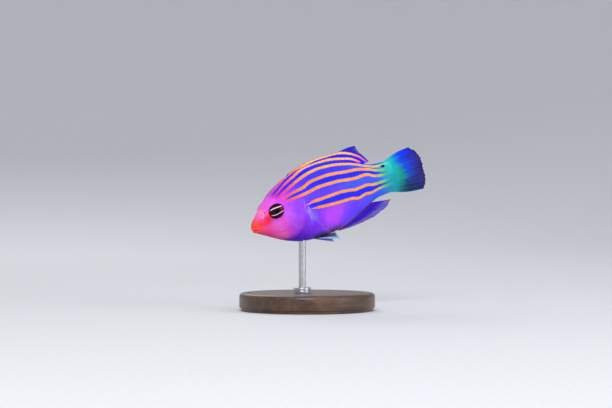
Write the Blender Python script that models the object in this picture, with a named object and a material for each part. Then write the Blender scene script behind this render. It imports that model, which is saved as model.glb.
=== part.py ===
"""Six-line wrasse: a still, life-size display model on a plain stand.

The fish is laid out in its own frame, which an empty then tips head down over the stand.
In that frame x runs from the tip of the snout, at 0, to the root of the tail fin, at 1, as
shares of the standard length, z is up, and the fish's left flank is on the side of -Y.
"""

import math

import bmesh
import bpy
import numpy as np
from mathutils import Matrix, Vector

# Driving sizes, in metres and radians
STANDARD_LENGTH = 0.061
PITCH = math.radians(17.4)
TAIL_BEND = math.radians(8.0)
BEND_START = 0.55
SNOUT_PLACE = (-0.0240, 0.0, 0.0280)
GAP = 0.0003

# Outline of the body: share of the length from the snout, then height or half width
BACK = (
    (0.0, 0.0), (0.012, 0.024), (0.04, 0.046), (0.075, 0.068), (0.11, 0.090),
    (0.15, 0.121), (0.20, 0.152), (0.26, 0.180), (0.33, 0.199), (0.42, 0.207),
    (0.52, 0.203), (0.62, 0.192), (0.72, 0.168), (0.80, 0.138), (0.87, 0.105),
    (0.93, 0.085), (1.0, 0.080),
)
BELLY = (
    (0.0, 0.0), (0.012, -0.027), (0.04, -0.045), (0.075, -0.064), (0.11, -0.084),
    (0.15, -0.107), (0.20, -0.133), (0.27, -0.161), (0.35, -0.182), (0.44, -0.193),
    (0.54, -0.197), (0.64, -0.188), (0.73, -0.167), (0.80, -0.143), (0.87, -0.118),
    (0.93, -0.106), (1.0, -0.105),
)
HALF_WIDTH = (
    (0.0, 0.0), (0.012, 0.014), (0.04, 0.026), (0.075, 0.040), (0.11, 0.052),
    (0.15, 0.061), (0.20, 0.071), (0.27, 0.083), (0.34, 0.091), (0.42, 0.092),
    (0.52, 0.087), (0.62, 0.077), (0.72, 0.063), (0.80, 0.050), (0.87, 0.038),
    (0.93, 0.028), (1.0, 0.017),
)
WIDEST_LEVEL = ((0.0, 0.0), (0.06, 0.006), (0.15, 0.020), (0.30, 0.020), (0.55, 0.008), (1.0, 0.0))
UPPER_SQUARENESS = ((0.0, 2.2), (0.10, 3.0), (0.15, 3.0), (0.28, 2.0), (0.45, 1.85), (1.0, 1.95))
LOWER_SQUARENESS = ((0.0, 2.2), (0.20, 2.2), (0.45, 2.1), (1.0, 2.0))

# Where the body is parted: the gill cover's edge, by how high it is, and the tail stem
GILL_EDGE = (
    (-1.0, 0.226), (-0.75, 0.258), (-0.35, 0.311), (0.0, 0.327), (0.35, 0.333),
    (0.75, 0.316), (1.0, 0.292),
)
GILL_CENTRE = 0.285
# The gill cover's edge runs aslant, so its gap is wider when measured along the body
GILL_GAP = 1.3 * GAP
GILL_FLARE = 0.045
FLARE_START = 0.80
STEM_START = 0.875

# How finely the body is cut into faces
SIDES = 40
HEAD_STATIONS = 24
TORSO_STATIONS = 22
STEM_STATIONS = 5
SNOUT_CROWDING = 1.7

# Eye: its middle, its half sizes along, up and out, and how deep its middle lies
EYE_PLACE = (0.150, 0.052)
EYE_HALF_SIZES = (0.046, 0.041, 0.026)
EYE_DEPTH = 0.009
EYE_SEGMENTS = 24
EYE_RINGS = 12

# Mouth, lips and nostrils
MOUTH_TIP_LEVEL = -0.015
MOUTH_CORNER = (0.046, -0.026)
MOUTH_SLOT = 0.0004
MOUTH_SLOT_WIDTH = 0.2
JAW_SAMPLES = 200
LIP_RADIUS = 0.0078
LIP_OFFSET = 0.0095
LIP_SUNK = 0.3
LIP_SHARES = (0.95, 0.70, 0.45, 0.26, 0.11)
LIP_WELD = 0.00001
NOSTRILS = ((0.068, 0.054, 0.00028), (0.086, 0.062, 0.00034))
NOSTRIL_DEPTH = 0.0016
NOSTRIL_WAY = (-0.25, 0.80, 0.55)
NOSTRIL_SIDES = 10

# Fins: number of rays, rows of points from root to margin, and how far the margin falls back
# between two rays; then half thickness of rays and membrane, root then margin
DORSAL_ROWS = 5
DORSAL_NOTCHES = (0.16, 0.05)
ANAL_ROWS = 6
ANAL_NOTCH = 0.05
TAIL_ROWS = 8
TAIL_NOTCH = 0.03
PECTORAL_ROWS = 7
PECTORAL_NOTCH = 0.04
PECTORAL_TAPER = 1.4
# Rows over which the pectoral's thickness turns from along the body to square to the fin
PECTORAL_TURN_ROWS = 3
PELVIC_ROWS = 6
PELVIC_NOTCH = 0.10
RAY_HALF = (0.00042, 0.00026)
MEMBRANE_HALF = (0.00026, 0.00020)
MEMBRANE_COLUMNS = (0.30, 0.70)
DORSAL_RAYS = 20
DORSAL_SPINES_END = 0.45
DORSAL_BASE = (0.315, 0.865)
DORSAL_MARGIN = (
    (0.0, 0.330, 0.012), (0.10, 0.420, 0.022), (0.25, 0.525, 0.031), (0.40, 0.625, 0.041),
    (0.55, 0.715, 0.056), (0.66, 0.805, 0.094), (0.76, 0.846, 0.068), (0.90, 0.888, 0.048),
    (1.0, 0.912, 0.020),
)
ANAL_RAYS = 12
ANAL_BASE = (0.575, 0.860)
ANAL_MARGIN = (
    (0.0, 0.600, 0.014), (0.25, 0.700, 0.037), (0.50, 0.800, 0.070), (0.70, 0.880, 0.087),
    (0.85, 0.950, 0.080), (1.0, 1.000, 0.040),
)
TAIL_RAYS = 14
TAIL_ROOT = (0.076, -0.101)
TAIL_MARGIN = (
    (0.0, 1.195, 0.110), (0.20, 1.242, 0.074), (0.36, 1.262, 0.034), (0.50, 1.270, -0.002),
    (0.75, 1.270, -0.072), (0.88, 1.262, -0.116), (1.0, 1.243, -0.155),
)
TAIL_EDGE_BOW = 0.010
PECTORAL_RAYS = 13
PECTORAL_ROOT = ((0.343, 0.012), (0.353, -0.055))
PECTORAL_LEADING = (0.18, (-0.02, 0.60, -0.78))
PECTORAL_TRAILING = (0.12, (0.55, 0.40, -0.70))
PECTORAL_BULGE = 0.020
PELVIC_RAYS = 6
PELVIC_ROOT = ((0.382, 0.026), (0.424, 0.021))
PELVIC_TIPS = ((0.0, 0.576, 0.030, -0.246), (0.4, 0.560, 0.026, -0.231), (1.0, 0.500, 0.021, -0.208))
PELVIC_DROP = {"left": 0.0, "right": 0.020}
PAIRED_FIN_GAP = 0.00035

# Stand
BASE_RADIUS = 0.0230
BASE_HEIGHT = 0.0060
BASE_EDGE = 0.0012
BASE_EDGE_STEPS = 4
ROD_RADIUS = 0.0012
ROD_STATION = 0.320
SOCKET_DEPTH = 0.0030
COLLAR_RADIUS = 0.0030
COLLAR_HEIGHT = 0.0016
ROD_SEGMENTS = 32
BASE_SEGMENTS = 64

# Finishes: colour, roughness, metallic
FINISHES = {
    "head_skin": ((0.68, 0.12, 0.82), 0.35, 0.0),
    "flank_skin": ((0.20, 0.16, 0.85), 0.35, 0.0),
    "stem_skin": ((0.06, 0.20, 0.85), 0.35, 0.0),
    "dorsal_membrane": ((0.02, 0.02, 0.80), 0.40, 0.0),
    "anal_membrane": ((0.05, 0.02, 0.75), 0.40, 0.0),
    "tail_membrane": ((0.01, 0.45, 0.50), 0.40, 0.0),
    "clear_membrane": ((0.75, 0.70, 0.90), 0.30, 0.0),
    "pelvic_membrane": ((0.25, 0.50, 0.90), 0.40, 0.0),
    "eye_gloss": ((0.12, 0.01, 0.02), 0.08, 0.0),
    "stand_wood": ((0.10, 0.05, 0.03), 0.45, 0.0),
    "stand_steel": ((0.60, 0.60, 0.62), 0.30, 1.0),
}


def smooth_curve(points, at):
    """Height at each place of a curve through the points that never overshoots them."""
    places, heights = np.array(points, float).T
    steps = np.diff(places)
    slopes = np.diff(heights) / steps
    product = slopes[1:] * slopes[:-1]
    inner = np.zeros_like(product)
    np.divide(2.0 * product, slopes[1:] + slopes[:-1], out=inner, where=product > 0.0)
    tangents = np.concatenate(([slopes[0]], inner, [slopes[-1]]))
    at = np.asarray(at, float)
    piece = np.clip(np.searchsorted(places, at, side="right") - 1, 0, len(steps) - 1)
    part = np.clip((at - places[piece]) / steps[piece], 0.0, 1.0)
    rest = 1.0 - part
    return (
        heights[piece] * (1.0 + 2.0 * part) * rest**2
        + tangents[piece] * steps[piece] * part * rest**2
        + heights[piece + 1] * (3.0 - 2.0 * part) * part**2
        - tangents[piece + 1] * steps[piece] * rest * part**2
    )


def outline(table, x):
    """A body outline at x, rounded off at the snout by working in the root of x."""
    points = [(math.sqrt(place), height) for place, height in table]
    return smooth_curve(points, np.sqrt(np.clip(x, 0.0, None)))


def skin(x, angle):
    """Side and height of the skin at x and at an angle round the body, 90 degrees on the back."""
    rise, spread = np.sin(angle), np.cos(angle)
    upper = rise >= 0.0
    level = smooth_curve(WIDEST_LEVEL, x)
    squareness = np.where(upper, smooth_curve(UPPER_SQUARENESS, x), smooth_curve(LOWER_SQUARENESS, x))
    reach = np.where(upper, outline(BACK, x) - level, level - outline(BELLY, x))
    side = outline(HALF_WIDTH, x) * np.sign(spread) * np.abs(spread) ** (2.0 / squareness)
    return side, level + reach * np.sign(rise) * np.abs(rise) ** (2.0 / squareness)


def skin_side(x, z):
    """Half width of the body at x and at the height z."""
    level = float(smooth_curve(WIDEST_LEVEL, x))
    if z >= level:
        reach = float(outline(BACK, x)) - level
        squareness = float(smooth_curve(UPPER_SQUARENESS, x))
    else:
        reach = level - float(outline(BELLY, x))
        squareness = float(smooth_curve(LOWER_SQUARENESS, x))
    share = min(abs(z - level) / reach, 1.0)
    return float(outline(HALF_WIDTH, x)) * (1.0 - share**squareness) ** (1.0 / squareness)


def skin_below(x, y):
    """Height of the under side of the body at x and at y from the middle."""
    level = float(smooth_curve(WIDEST_LEVEL, x))
    squareness = float(smooth_curve(LOWER_SQUARENESS, x))
    share = min(abs(y) / float(outline(HALF_WIDTH, x)), 1.0)
    reach = level - float(outline(BELLY, x))
    return level - reach * (1.0 - share**squareness) ** (1.0 / squareness)


def sideways_bend(x):
    """How far the middle of the body is bent toward the left flank at x."""
    reach = 1.0 - BEND_START
    rate = math.tan(TAIL_BEND) / (2.0 * reach)
    past = np.clip(x - BEND_START, 0.0, None)
    inner = np.minimum(past, reach)
    return -rate * inner**2 - 2.0 * rate * reach * (past - inner)


def to_metres(points):
    """Points given as shares of the standard length, bent with the body, in metres."""
    points = np.array(points, float)
    points[..., 1] += sideways_bend(points[..., 0])
    return points * STANDARD_LENGTH


def gill_edge(angle):
    """Place along the body of the gill cover's edge at an angle round the body."""
    return smooth_curve(GILL_EDGE, np.sin(angle))


def make_mesh(name, vertices, faces):
    """A mesh with its faces turned outward."""
    mesh = bpy.data.meshes.new(name)
    mesh.from_pydata([tuple(vertex) for vertex in vertices], [], faces)
    shape = bmesh.new()
    shape.from_mesh(mesh)
    bmesh.ops.recalc_face_normals(shape, faces=shape.faces)
    shape.to_mesh(mesh)
    shape.free()
    return mesh


def make_finish(name):
    """A Principled BSDF material from the table of finishes, made once."""
    if name in bpy.data.materials:
        return bpy.data.materials[name]
    colour, roughness, metallic = FINISHES[name]
    material = bpy.data.materials.new(name)
    material.use_nodes = True
    shader = material.node_tree.nodes["Principled BSDF"]
    shader.inputs["Base Color"].default_value = (*colour, 1.0)
    shader.inputs["Roughness"].default_value = roughness
    shader.inputs["Metallic"].default_value = metallic
    return material


def add_part(name, mesh, finish, parent=None):
    """A named object of the model with its own finish, under its parent."""
    part = bpy.data.objects.new(name, mesh)
    bpy.data.collections["wrasse_model"].objects.link(part)
    mesh.materials.clear()
    mesh.materials.append(make_finish(finish))
    part.parent = parent
    return part


def add_cutter(name, mesh, parent=None):
    """A hidden object that only cuts others."""
    cutter = bpy.data.objects.new(name, mesh)
    bpy.data.collections["cutters"].objects.link(cutter)
    cutter.hide_render = True
    cutter.display_type = "WIRE"
    cutter.parent = parent
    return cutter


def ball_mesh(name, half_sizes):
    """An ellipsoid whose poles are on its third axis."""
    mesh = bpy.data.meshes.new(name)
    shape = bmesh.new()
    bmesh.ops.create_uvsphere(shape, u_segments=EYE_SEGMENTS, v_segments=EYE_RINGS, radius=1.0)
    bmesh.ops.scale(shape, vec=half_sizes, verts=shape.verts)
    shape.to_mesh(mesh)
    shape.free()
    return mesh


def rod_mesh(name, radius, depth, segments):
    """A closed upright cylinder about the origin."""
    mesh = bpy.data.meshes.new(name)
    shape = bmesh.new()
    bmesh.ops.create_cone(
        shape, cap_ends=True, segments=segments, radius1=radius, radius2=radius, depth=depth
    )
    shape.to_mesh(mesh)
    shape.free()
    return mesh


def cut_from(part, cutter):
    """Take the cutter's shape out of the part with a modifier that stays."""
    cut = part.modifiers.new("cut_" + cutter.name, "BOOLEAN")
    cut.operation = "DIFFERENCE"
    cut.solver = "EXACT"
    cut.object = cutter


def loft_mesh(name, rings, front_point, rear_point):
    """A closed body through rings of points, with each end drawn to one point."""
    stations, sides, _ = rings.shape
    vertices = np.concatenate((rings.reshape(-1, 3), [front_point], [rear_point]))
    front, rear = stations * sides, stations * sides + 1
    faces = []
    for side in range(sides):
        beside = (side + 1) % sides
        faces.append((front, side, beside))
        for station in range(stations - 1):
            row = station * sides
            faces.append((row + side, row + sides + side, row + sides + beside, row + beside))
        last = (stations - 1) * sides
        faces.append((rear, last + beside, last + side))
    return make_mesh(name, vertices, faces)


def ring_angles():
    """Angles round the body, the same on every ring."""
    return np.arange(SIDES) * 2.0 * math.pi / SIDES


def body_rings(starts, ends, shares, flare):
    """Rings of the skin between two edges, each given round the body, at shares of the way."""
    angle = ring_angles()[None, :]
    share = np.array(shares)[:, None]
    x = starts[None, :] * (1.0 - share) + ends[None, :] * share
    y, z = skin(x, angle)
    lift = np.clip((share - FLARE_START) / (1.0 - FLARE_START), 0.0, 1.0)
    swell = 1.0 + flare * lift**2 * np.abs(np.cos(angle))
    return np.stack((x, y * swell, z), axis=-1)


def head_base_mesh():
    """The head without lips and holes, from the snout to the gill cover's edge."""
    edge = gill_edge(ring_angles())
    shares = (np.arange(1, HEAD_STATIONS + 1) / HEAD_STATIONS) ** SNOUT_CROWDING
    rings = to_metres(body_rings(np.zeros(SIDES), edge, shares, GILL_FLARE))
    return loft_mesh("head", rings, (0.0, 0.0, 0.0), to_metres((GILL_CENTRE, 0.0, 0.0)))


def mouth_level(x):
    """Height of the line of the mouth at x."""
    corner_x, corner_z = MOUTH_CORNER
    return MOUTH_TIP_LEVEL + (corner_z - MOUTH_TIP_LEVEL) * x / corner_x


def jaw_front(z):
    """Place along the body where the outline under the snout reaches the height z."""
    x = np.linspace(0.0, MOUTH_CORNER[0], JAW_SAMPLES)
    return float(np.interp(-z, -outline(BELLY, x), x))


def lip_path(side_of_mouth):
    """Points of a lip's middle line, from one corner of the mouth round to the other."""
    offset = side_of_mouth * LIP_OFFSET
    front = jaw_front(mouth_level(0.0) + offset)
    half = []
    for share in LIP_SHARES:
        x = front + (MOUTH_CORNER[0] - front) * share
        z = mouth_level(x) + offset
        half.append((x, skin_side(x, z) - LIP_SUNK * LIP_RADIUS, z))
    tip = (front + LIP_SUNK * LIP_RADIUS, 0.0, mouth_level(front) + offset)
    return half + [tip] + [(x, -y, z) for x, y, z in reversed(half)]


def lip_object(name, side_of_mouth):
    """A lip as a closed mesh, made from a bevelled curve and welded at its caps."""
    path = to_metres(lip_path(side_of_mouth))
    curve = bpy.data.curves.new(name, "CURVE")
    curve.dimensions = "3D"
    curve.bevel_depth = LIP_RADIUS * STANDARD_LENGTH
    curve.bevel_resolution = 2
    curve.resolution_u = 2
    curve.use_fill_caps = True
    spline = curve.splines.new("POLY")
    spline.points.add(len(path) - 1)
    for point, place in zip(spline.points, path):
        point.co = (*place, 1.0)
    source = bpy.data.objects.new(name + "_curve", curve)
    bpy.context.scene.collection.objects.link(source)
    bpy.context.view_layer.update()
    evaluated = source.evaluated_get(bpy.context.evaluated_depsgraph_get())
    mesh = bpy.data.meshes.new_from_object(evaluated)
    bpy.data.objects.remove(source)
    shape = bmesh.new()
    shape.from_mesh(mesh)
    bmesh.ops.remove_doubles(shape, verts=shape.verts, dist=LIP_WELD)
    bmesh.ops.recalc_face_normals(shape, faces=shape.faces)
    shape.to_mesh(mesh)
    shape.free()
    return bpy.data.objects.new(name, mesh)


def keep_largest(mesh):
    """Drop every loose closed surface of a mesh but the largest."""
    shape = bmesh.new()
    shape.from_mesh(mesh)
    unseen = set(shape.faces)
    pieces = []
    while unseen:
        piece, edge = set(), [unseen.pop()]
        while edge:
            face = edge.pop()
            piece.add(face)
            near = {other for line in face.edges for other in line.link_faces} & unseen
            unseen -= near
            edge.extend(near)
        pieces.append(piece)
    pieces.sort(key=lambda faces: sum(face.calc_area() for face in faces))
    for piece in pieces[:-1]:
        bmesh.ops.delete(shape, geom=list(piece), context="FACES")
    shape.to_mesh(mesh)
    shape.free()


def apply_modifiers(part):
    """Replace the part's mesh by what its modifiers make of it."""
    bpy.context.view_layer.update()
    evaluated = part.evaluated_get(bpy.context.evaluated_depsgraph_get())
    mesh = bpy.data.meshes.new_from_object(evaluated)
    part.modifiers.clear()
    part.data = mesh
    return mesh


def eye_frame(side):
    """Matrix of an eye in the fish's frame: along, up and outward axes, and its middle."""
    x, z = EYE_PLACE
    step = 0.01
    surface = Vector((x, side * skin_side(x, z), z))
    along = Vector((x + step, side * skin_side(x + step, z), z)) - surface
    rising = Vector((x, side * skin_side(x, z + step), z + step)) - surface
    outward = along.cross(rising).normalized()
    if outward.y * side < 0.0:
        outward.negate()
    along.normalize()
    upward = outward.cross(along)
    turn = Matrix((along, upward, outward)).transposed().to_4x4()
    middle = (surface - outward * EYE_DEPTH) * STANDARD_LENGTH
    return Matrix.Translation(middle) @ turn


def add_eye(name, side, pose, head):
    """An eye and the socket that it sits in."""
    half_sizes = [size * STANDARD_LENGTH for size in EYE_HALF_SIZES]
    eye = add_part(name, ball_mesh(name, half_sizes), "eye_gloss", pose)
    eye.matrix_local = eye_frame(side)
    socket = add_cutter(
        name + "_socket", ball_mesh(name + "_socket", [size + GAP for size in half_sizes]), pose
    )
    socket.matrix_local = eye_frame(side)
    cut_from(head, socket)


def add_mouth_slot(pose, head):
    """The thin gap between the jaws, open at the snout."""
    corner_x, corner_z = MOUTH_CORNER
    slope = math.atan2(corner_z - MOUTH_TIP_LEVEL, corner_x)
    length, width = 2.0 * corner_x * STANDARD_LENGTH, MOUTH_SLOT_WIDTH * STANDARD_LENGTH
    mesh = bpy.data.meshes.new("mouth_slot")
    shape = bmesh.new()
    bmesh.ops.create_cube(shape, size=1.0)
    bmesh.ops.scale(shape, vec=(length, width, MOUTH_SLOT), verts=shape.verts)
    shape.to_mesh(mesh)
    shape.free()
    slot = add_cutter("mouth_slot", mesh, pose)
    slot.location = (0.0, 0.0, MOUTH_TIP_LEVEL * STANDARD_LENGTH)
    slot.rotation_euler = (0.0, -slope, 0.0)
    cut_from(head, slot)


def add_nostrils(pose, head):
    """Two small pits on each side of the snout."""
    for side in (-1.0, 1.0):
        for number, (x, z, radius) in enumerate(NOSTRILS, 1):
            name = f"nostril_{'right' if side > 0.0 else 'left'}_{number}"
            pit = add_cutter(name, rod_mesh(name, radius, NOSTRIL_DEPTH, NOSTRIL_SIDES), pose)
            pit.location = Vector((x, side * skin_side(x, z), z)) * STANDARD_LENGTH
            outward = Vector(NOSTRIL_WAY) * Vector((1.0, side, 1.0))
            pit.rotation_mode = "QUATERNION"
            pit.rotation_quaternion = outward.to_track_quat("Z", "Y")
            cut_from(head, pit)


def add_head(pose):
    """The head with its lips, mouth, nostrils and eye sockets, and both eyes."""
    head = add_part("head", head_base_mesh(), "head_skin", pose)
    lips = bpy.data.collections.new("lips")
    bpy.context.scene.collection.children.link(lips)
    for name, side_of_mouth in (("upper_lip", 1.0), ("lower_lip", -1.0)):
        lip = lip_object(name, side_of_mouth)
        lip.parent = pose
        lips.objects.link(lip)
    union = head.modifiers.new("lips", "BOOLEAN")
    union.operation = "UNION"
    union.solver = "EXACT"
    union.operand_type = "COLLECTION"
    union.collection = lips
    add_mouth_slot(pose, head)
    add_nostrils(pose, head)
    add_eye("eye_left", -1.0, pose, head)
    add_eye("eye_right", 1.0, pose, head)
    mesh = apply_modifiers(head)
    keep_largest(mesh)
    for lip in list(lips.objects):
        bpy.data.objects.remove(lip)
    bpy.data.collections.remove(lips)


def add_torso(pose):
    """The trunk, from behind the gill covers to the tail stem."""
    edge = gill_edge(ring_angles()) + GILL_GAP / STANDARD_LENGTH
    shares = np.linspace(0.0, 1.0, TORSO_STATIONS)
    rings = to_metres(body_rings(edge, np.full(SIDES, STEM_START), shares, 0.0))
    front = to_metres((GILL_CENTRE + GILL_GAP / STANDARD_LENGTH, 0.0, 0.0))
    mesh = loft_mesh("torso", rings, front, to_metres((STEM_START, 0.0, 0.0)))
    return add_part("torso", mesh, "flank_skin", pose)


def add_tail_stem(pose):
    """The narrow stem that carries the tail fin."""
    start = np.full(SIDES, STEM_START + GAP / STANDARD_LENGTH)
    shares = np.linspace(0.0, 1.0, STEM_STATIONS)
    rings = to_metres(body_rings(start, np.ones(SIDES), shares, 0.0))
    mesh = loft_mesh("tail_stem", rings, to_metres((start[0], 0.0, 0.0)), to_metres((1.0, 0.0, 0.0)))
    add_part("tail_stem", mesh, "stem_skin", pose)


def ray_columns(rays):
    """Places along a fin from 0 to 1, on each ray and twice between rays, and how ridged each is."""
    places, ridges = [], []
    for ray in range(rays - 1):
        for offset in (0.0, *MEMBRANE_COLUMNS):
            places.append((ray + offset) / (rays - 1))
            ridges.append(1.0 if offset == 0.0 else 0.0)
    return np.array(places + [1.0]), np.array(ridges + [1.0])


def fin_thickness(ridges, rows):
    """Half thickness at each column and row, thicker on the rays and thinning to the margin."""
    reach = np.linspace(0.0, 1.0, rows)[None, :]
    ray = RAY_HALF[0] * (1.0 - reach) + RAY_HALF[1] * reach
    membrane = MEMBRANE_HALF[0] * (1.0 - reach) + MEMBRANE_HALF[1] * reach
    return membrane + (ray - membrane) * ridges[:, None]


def sheet_normals(middle):
    """Unit normals of a sheet given as a grid of points."""
    along, outward = np.gradient(middle, axis=(0, 1))
    normals = np.cross(along, outward)
    return normals / np.linalg.norm(normals, axis=-1, keepdims=True)


def fin_mesh(name, middle, half, across):
    """A closed fin with the same triangles on both faces of its middle sheet."""
    columns, rows, _ = middle.shape
    offset = across * half[..., None]
    vertices = np.concatenate(((middle + offset).reshape(-1, 3), (middle - offset).reshape(-1, 3)))
    count = columns * rows
    faces = []
    for column in range(columns - 1):
        for row in range(rows - 1):
            a = column * rows + row
            b, c, d = a + rows, a + rows + 1, a + 1
            faces += [(a, b, c), (a, c, d)]
            faces += [(a + count, c + count, b + count), (a + count, d + count, c + count)]
    border = [column * rows for column in range(columns)]
    border += [(columns - 1) * rows + row for row in range(1, rows)]
    border += [column * rows + rows - 1 for column in range(columns - 2, -1, -1)]
    border += [row for row in range(rows - 2, 0, -1)]
    for here, there in zip(border, border[1:] + border[:1]):
        faces += [(here, there, there + count), (here, there + count, here + count)]
    return make_mesh(name, vertices, faces)


def fan_sheet(root, margin, rows, notch):
    """Grid of points from a root line to a margin line, the margin notched between the rays."""
    reach = np.linspace(0.0, 1.0, rows)[None, :, None] * (1.0 - notch[:, None, None])
    return root[:, None, :] * (1.0 - reach) + margin[:, None, :] * reach


def notches(places, rays, depth):
    """How much the margin falls back at each place, nothing on a ray and most between two."""
    return depth * np.sin(math.pi * places * (rays - 1)) ** 2


def add_dorsal_fin(pose):
    """The long fin on the back, spiny in front, folded low and raised to a point behind."""
    places, ridges = ray_columns(DORSAL_RAYS)
    root_x = DORSAL_BASE[0] + (DORSAL_BASE[1] - DORSAL_BASE[0]) * places
    margin_x = smooth_curve([(f, x) for f, x, _ in DORSAL_MARGIN], places)
    height = smooth_curve([(f, rise) for f, _, rise in DORSAL_MARGIN], places)
    flat = np.zeros_like(places)
    root = np.stack((root_x, flat, outline(BACK, root_x) + GAP / STANDARD_LENGTH), axis=-1)
    margin = np.stack((margin_x, flat, outline(BACK, margin_x) + height), axis=-1)
    depth = np.where(places < DORSAL_SPINES_END, *DORSAL_NOTCHES)
    middle = to_metres(fan_sheet(root, margin, DORSAL_ROWS, notches(places, DORSAL_RAYS, depth)))
    mesh = fin_mesh("dorsal_fin", middle, fin_thickness(ridges, DORSAL_ROWS), sheet_normals(middle))
    add_part("dorsal_fin", mesh, "dorsal_membrane", pose)


def add_anal_fin(pose):
    """The fin under the rear of the body."""
    places, ridges = ray_columns(ANAL_RAYS)
    root_x = ANAL_BASE[0] + (ANAL_BASE[1] - ANAL_BASE[0]) * places
    margin_x = smooth_curve([(f, x) for f, x, _ in ANAL_MARGIN], places)
    depth = smooth_curve([(f, fall) for f, _, fall in ANAL_MARGIN], places)
    flat = np.zeros_like(places)
    root = np.stack((root_x, flat, outline(BELLY, root_x) - GAP / STANDARD_LENGTH), axis=-1)
    margin = np.stack((margin_x, flat, outline(BELLY, margin_x) - depth), axis=-1)
    middle = to_metres(fan_sheet(root, margin, ANAL_ROWS, notches(places, ANAL_RAYS, ANAL_NOTCH)))
    mesh = fin_mesh("anal_fin", middle, fin_thickness(ridges, ANAL_ROWS), sheet_normals(middle))
    add_part("anal_fin", mesh, "anal_membrane", pose)


def add_tail_fin(pose):
    """The rounded tail fin, its edges bowed outward."""
    places, ridges = ray_columns(TAIL_RAYS)
    flat = np.zeros_like(places)
    root_z = TAIL_ROOT[0] + (TAIL_ROOT[1] - TAIL_ROOT[0]) * places
    root_x = np.full_like(places, 1.0 + GAP / STANDARD_LENGTH)
    margin_x = smooth_curve([(f, x) for f, x, _ in TAIL_MARGIN], places)
    margin_z = smooth_curve([(f, z) for f, _, z in TAIL_MARGIN], places)
    root = np.stack((root_x, flat, root_z), axis=-1)
    margin = np.stack((margin_x, flat, margin_z), axis=-1)
    sheet = fan_sheet(root, margin, TAIL_ROWS, notches(places, TAIL_RAYS, TAIL_NOTCH))
    reach = np.linspace(0.0, 1.0, TAIL_ROWS)[None, :]
    sheet[..., 2] += TAIL_EDGE_BOW * (1.0 - 2.0 * places[:, None]) * np.sin(math.pi * reach)
    middle = to_metres(sheet)
    mesh = fin_mesh("tail_fin", middle, fin_thickness(ridges, TAIL_ROWS), sheet_normals(middle))
    add_part("tail_fin", mesh, "tail_membrane", pose)


def add_pectoral_fin(name, side, pose):
    """A pectoral fin swept down and back beside the body, with its root close to the skin."""
    places, ridges = ray_columns(PECTORAL_RAYS)
    share = places[:, None]
    (top_x, top_z), (low_x, low_z) = PECTORAL_ROOT
    root_x = top_x + (low_x - top_x) * places
    root_z = top_z + (low_z - top_z) * places
    clear = PAIRED_FIN_GAP / STANDARD_LENGTH
    root_y = np.array([skin_side(x, z) for x, z in zip(root_x, root_z)]) + clear
    root = np.stack((root_x, side * root_y, root_z), axis=-1)
    lead_length, lead_way = PECTORAL_LEADING
    trail_length, trail_way = PECTORAL_TRAILING
    way = np.array(lead_way) * (1.0 - share) + np.array(trail_way) * share
    way /= np.linalg.norm(way, axis=-1, keepdims=True)
    way[:, 1] *= side
    length = lead_length + (trail_length - lead_length) * places**PECTORAL_TAPER
    length += PECTORAL_BULGE * np.sin(math.pi * places)
    margin = root + way * length[:, None]
    notched = notches(places, PECTORAL_RAYS, PECTORAL_NOTCH)
    middle = to_metres(fan_sheet(root, margin, PECTORAL_ROWS, notched))
    normals = sheet_normals(middle)
    flow = np.array((1.0, 0.0, 0.0)) * np.sign(normals[:, :1, :1])
    turned = np.clip(np.arange(PECTORAL_ROWS) / PECTORAL_TURN_ROWS, 0.0, 1.0)[None, :, None]
    across = flow * (1.0 - turned) + normals * turned
    across /= np.linalg.norm(across, axis=-1, keepdims=True)
    mesh = fin_mesh(name, middle, fin_thickness(ridges, PECTORAL_ROWS), across)
    add_part(name, mesh, "clear_membrane", pose)


def add_pelvic_fin(name, side, drop, pose):
    """A small pelvic fin trailing under the belly, swung down so that its longest ray ends lower."""
    places, ridges = ray_columns(PELVIC_RAYS)
    (front_x, front_y), (rear_x, rear_y) = PELVIC_ROOT
    root_x = front_x + (rear_x - front_x) * places
    root_y = front_y + (rear_y - front_y) * places
    clear = PAIRED_FIN_GAP / STANDARD_LENGTH
    root_z = np.array([skin_below(x, y) for x, y in zip(root_x, root_y)]) - clear
    root = np.stack((root_x, side * root_y, root_z), axis=-1)
    tips = [smooth_curve([(tip[0], tip[axis]) for tip in PELVIC_TIPS], places) for axis in (1, 2, 3)]
    lengths = tips[0] - root_x
    margin = np.stack((tips[0], side * tips[1], tips[2] - drop * lengths / lengths[0]), axis=-1)
    notched = notches(places, PELVIC_RAYS, PELVIC_NOTCH)
    middle = to_metres(fan_sheet(root, margin, PELVIC_ROWS, notched))
    across = np.broadcast_to((0.0, 1.0, 0.0), middle.shape)
    mesh = fin_mesh(name, middle, fin_thickness(ridges, PELVIC_ROWS), across)
    add_part(name, mesh, "pelvic_membrane", pose)


def rod_foot():
    """Place in the world where the rod meets the belly's middle line."""
    x = ROD_STATION * STANDARD_LENGTH
    z = float(outline(BELLY, ROD_STATION)) * STANDARD_LENGTH
    turned = Matrix.Rotation(-PITCH, 4, "Y") @ Vector((x, 0.0, z))
    return Vector(SNOUT_PLACE) + turned


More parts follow.
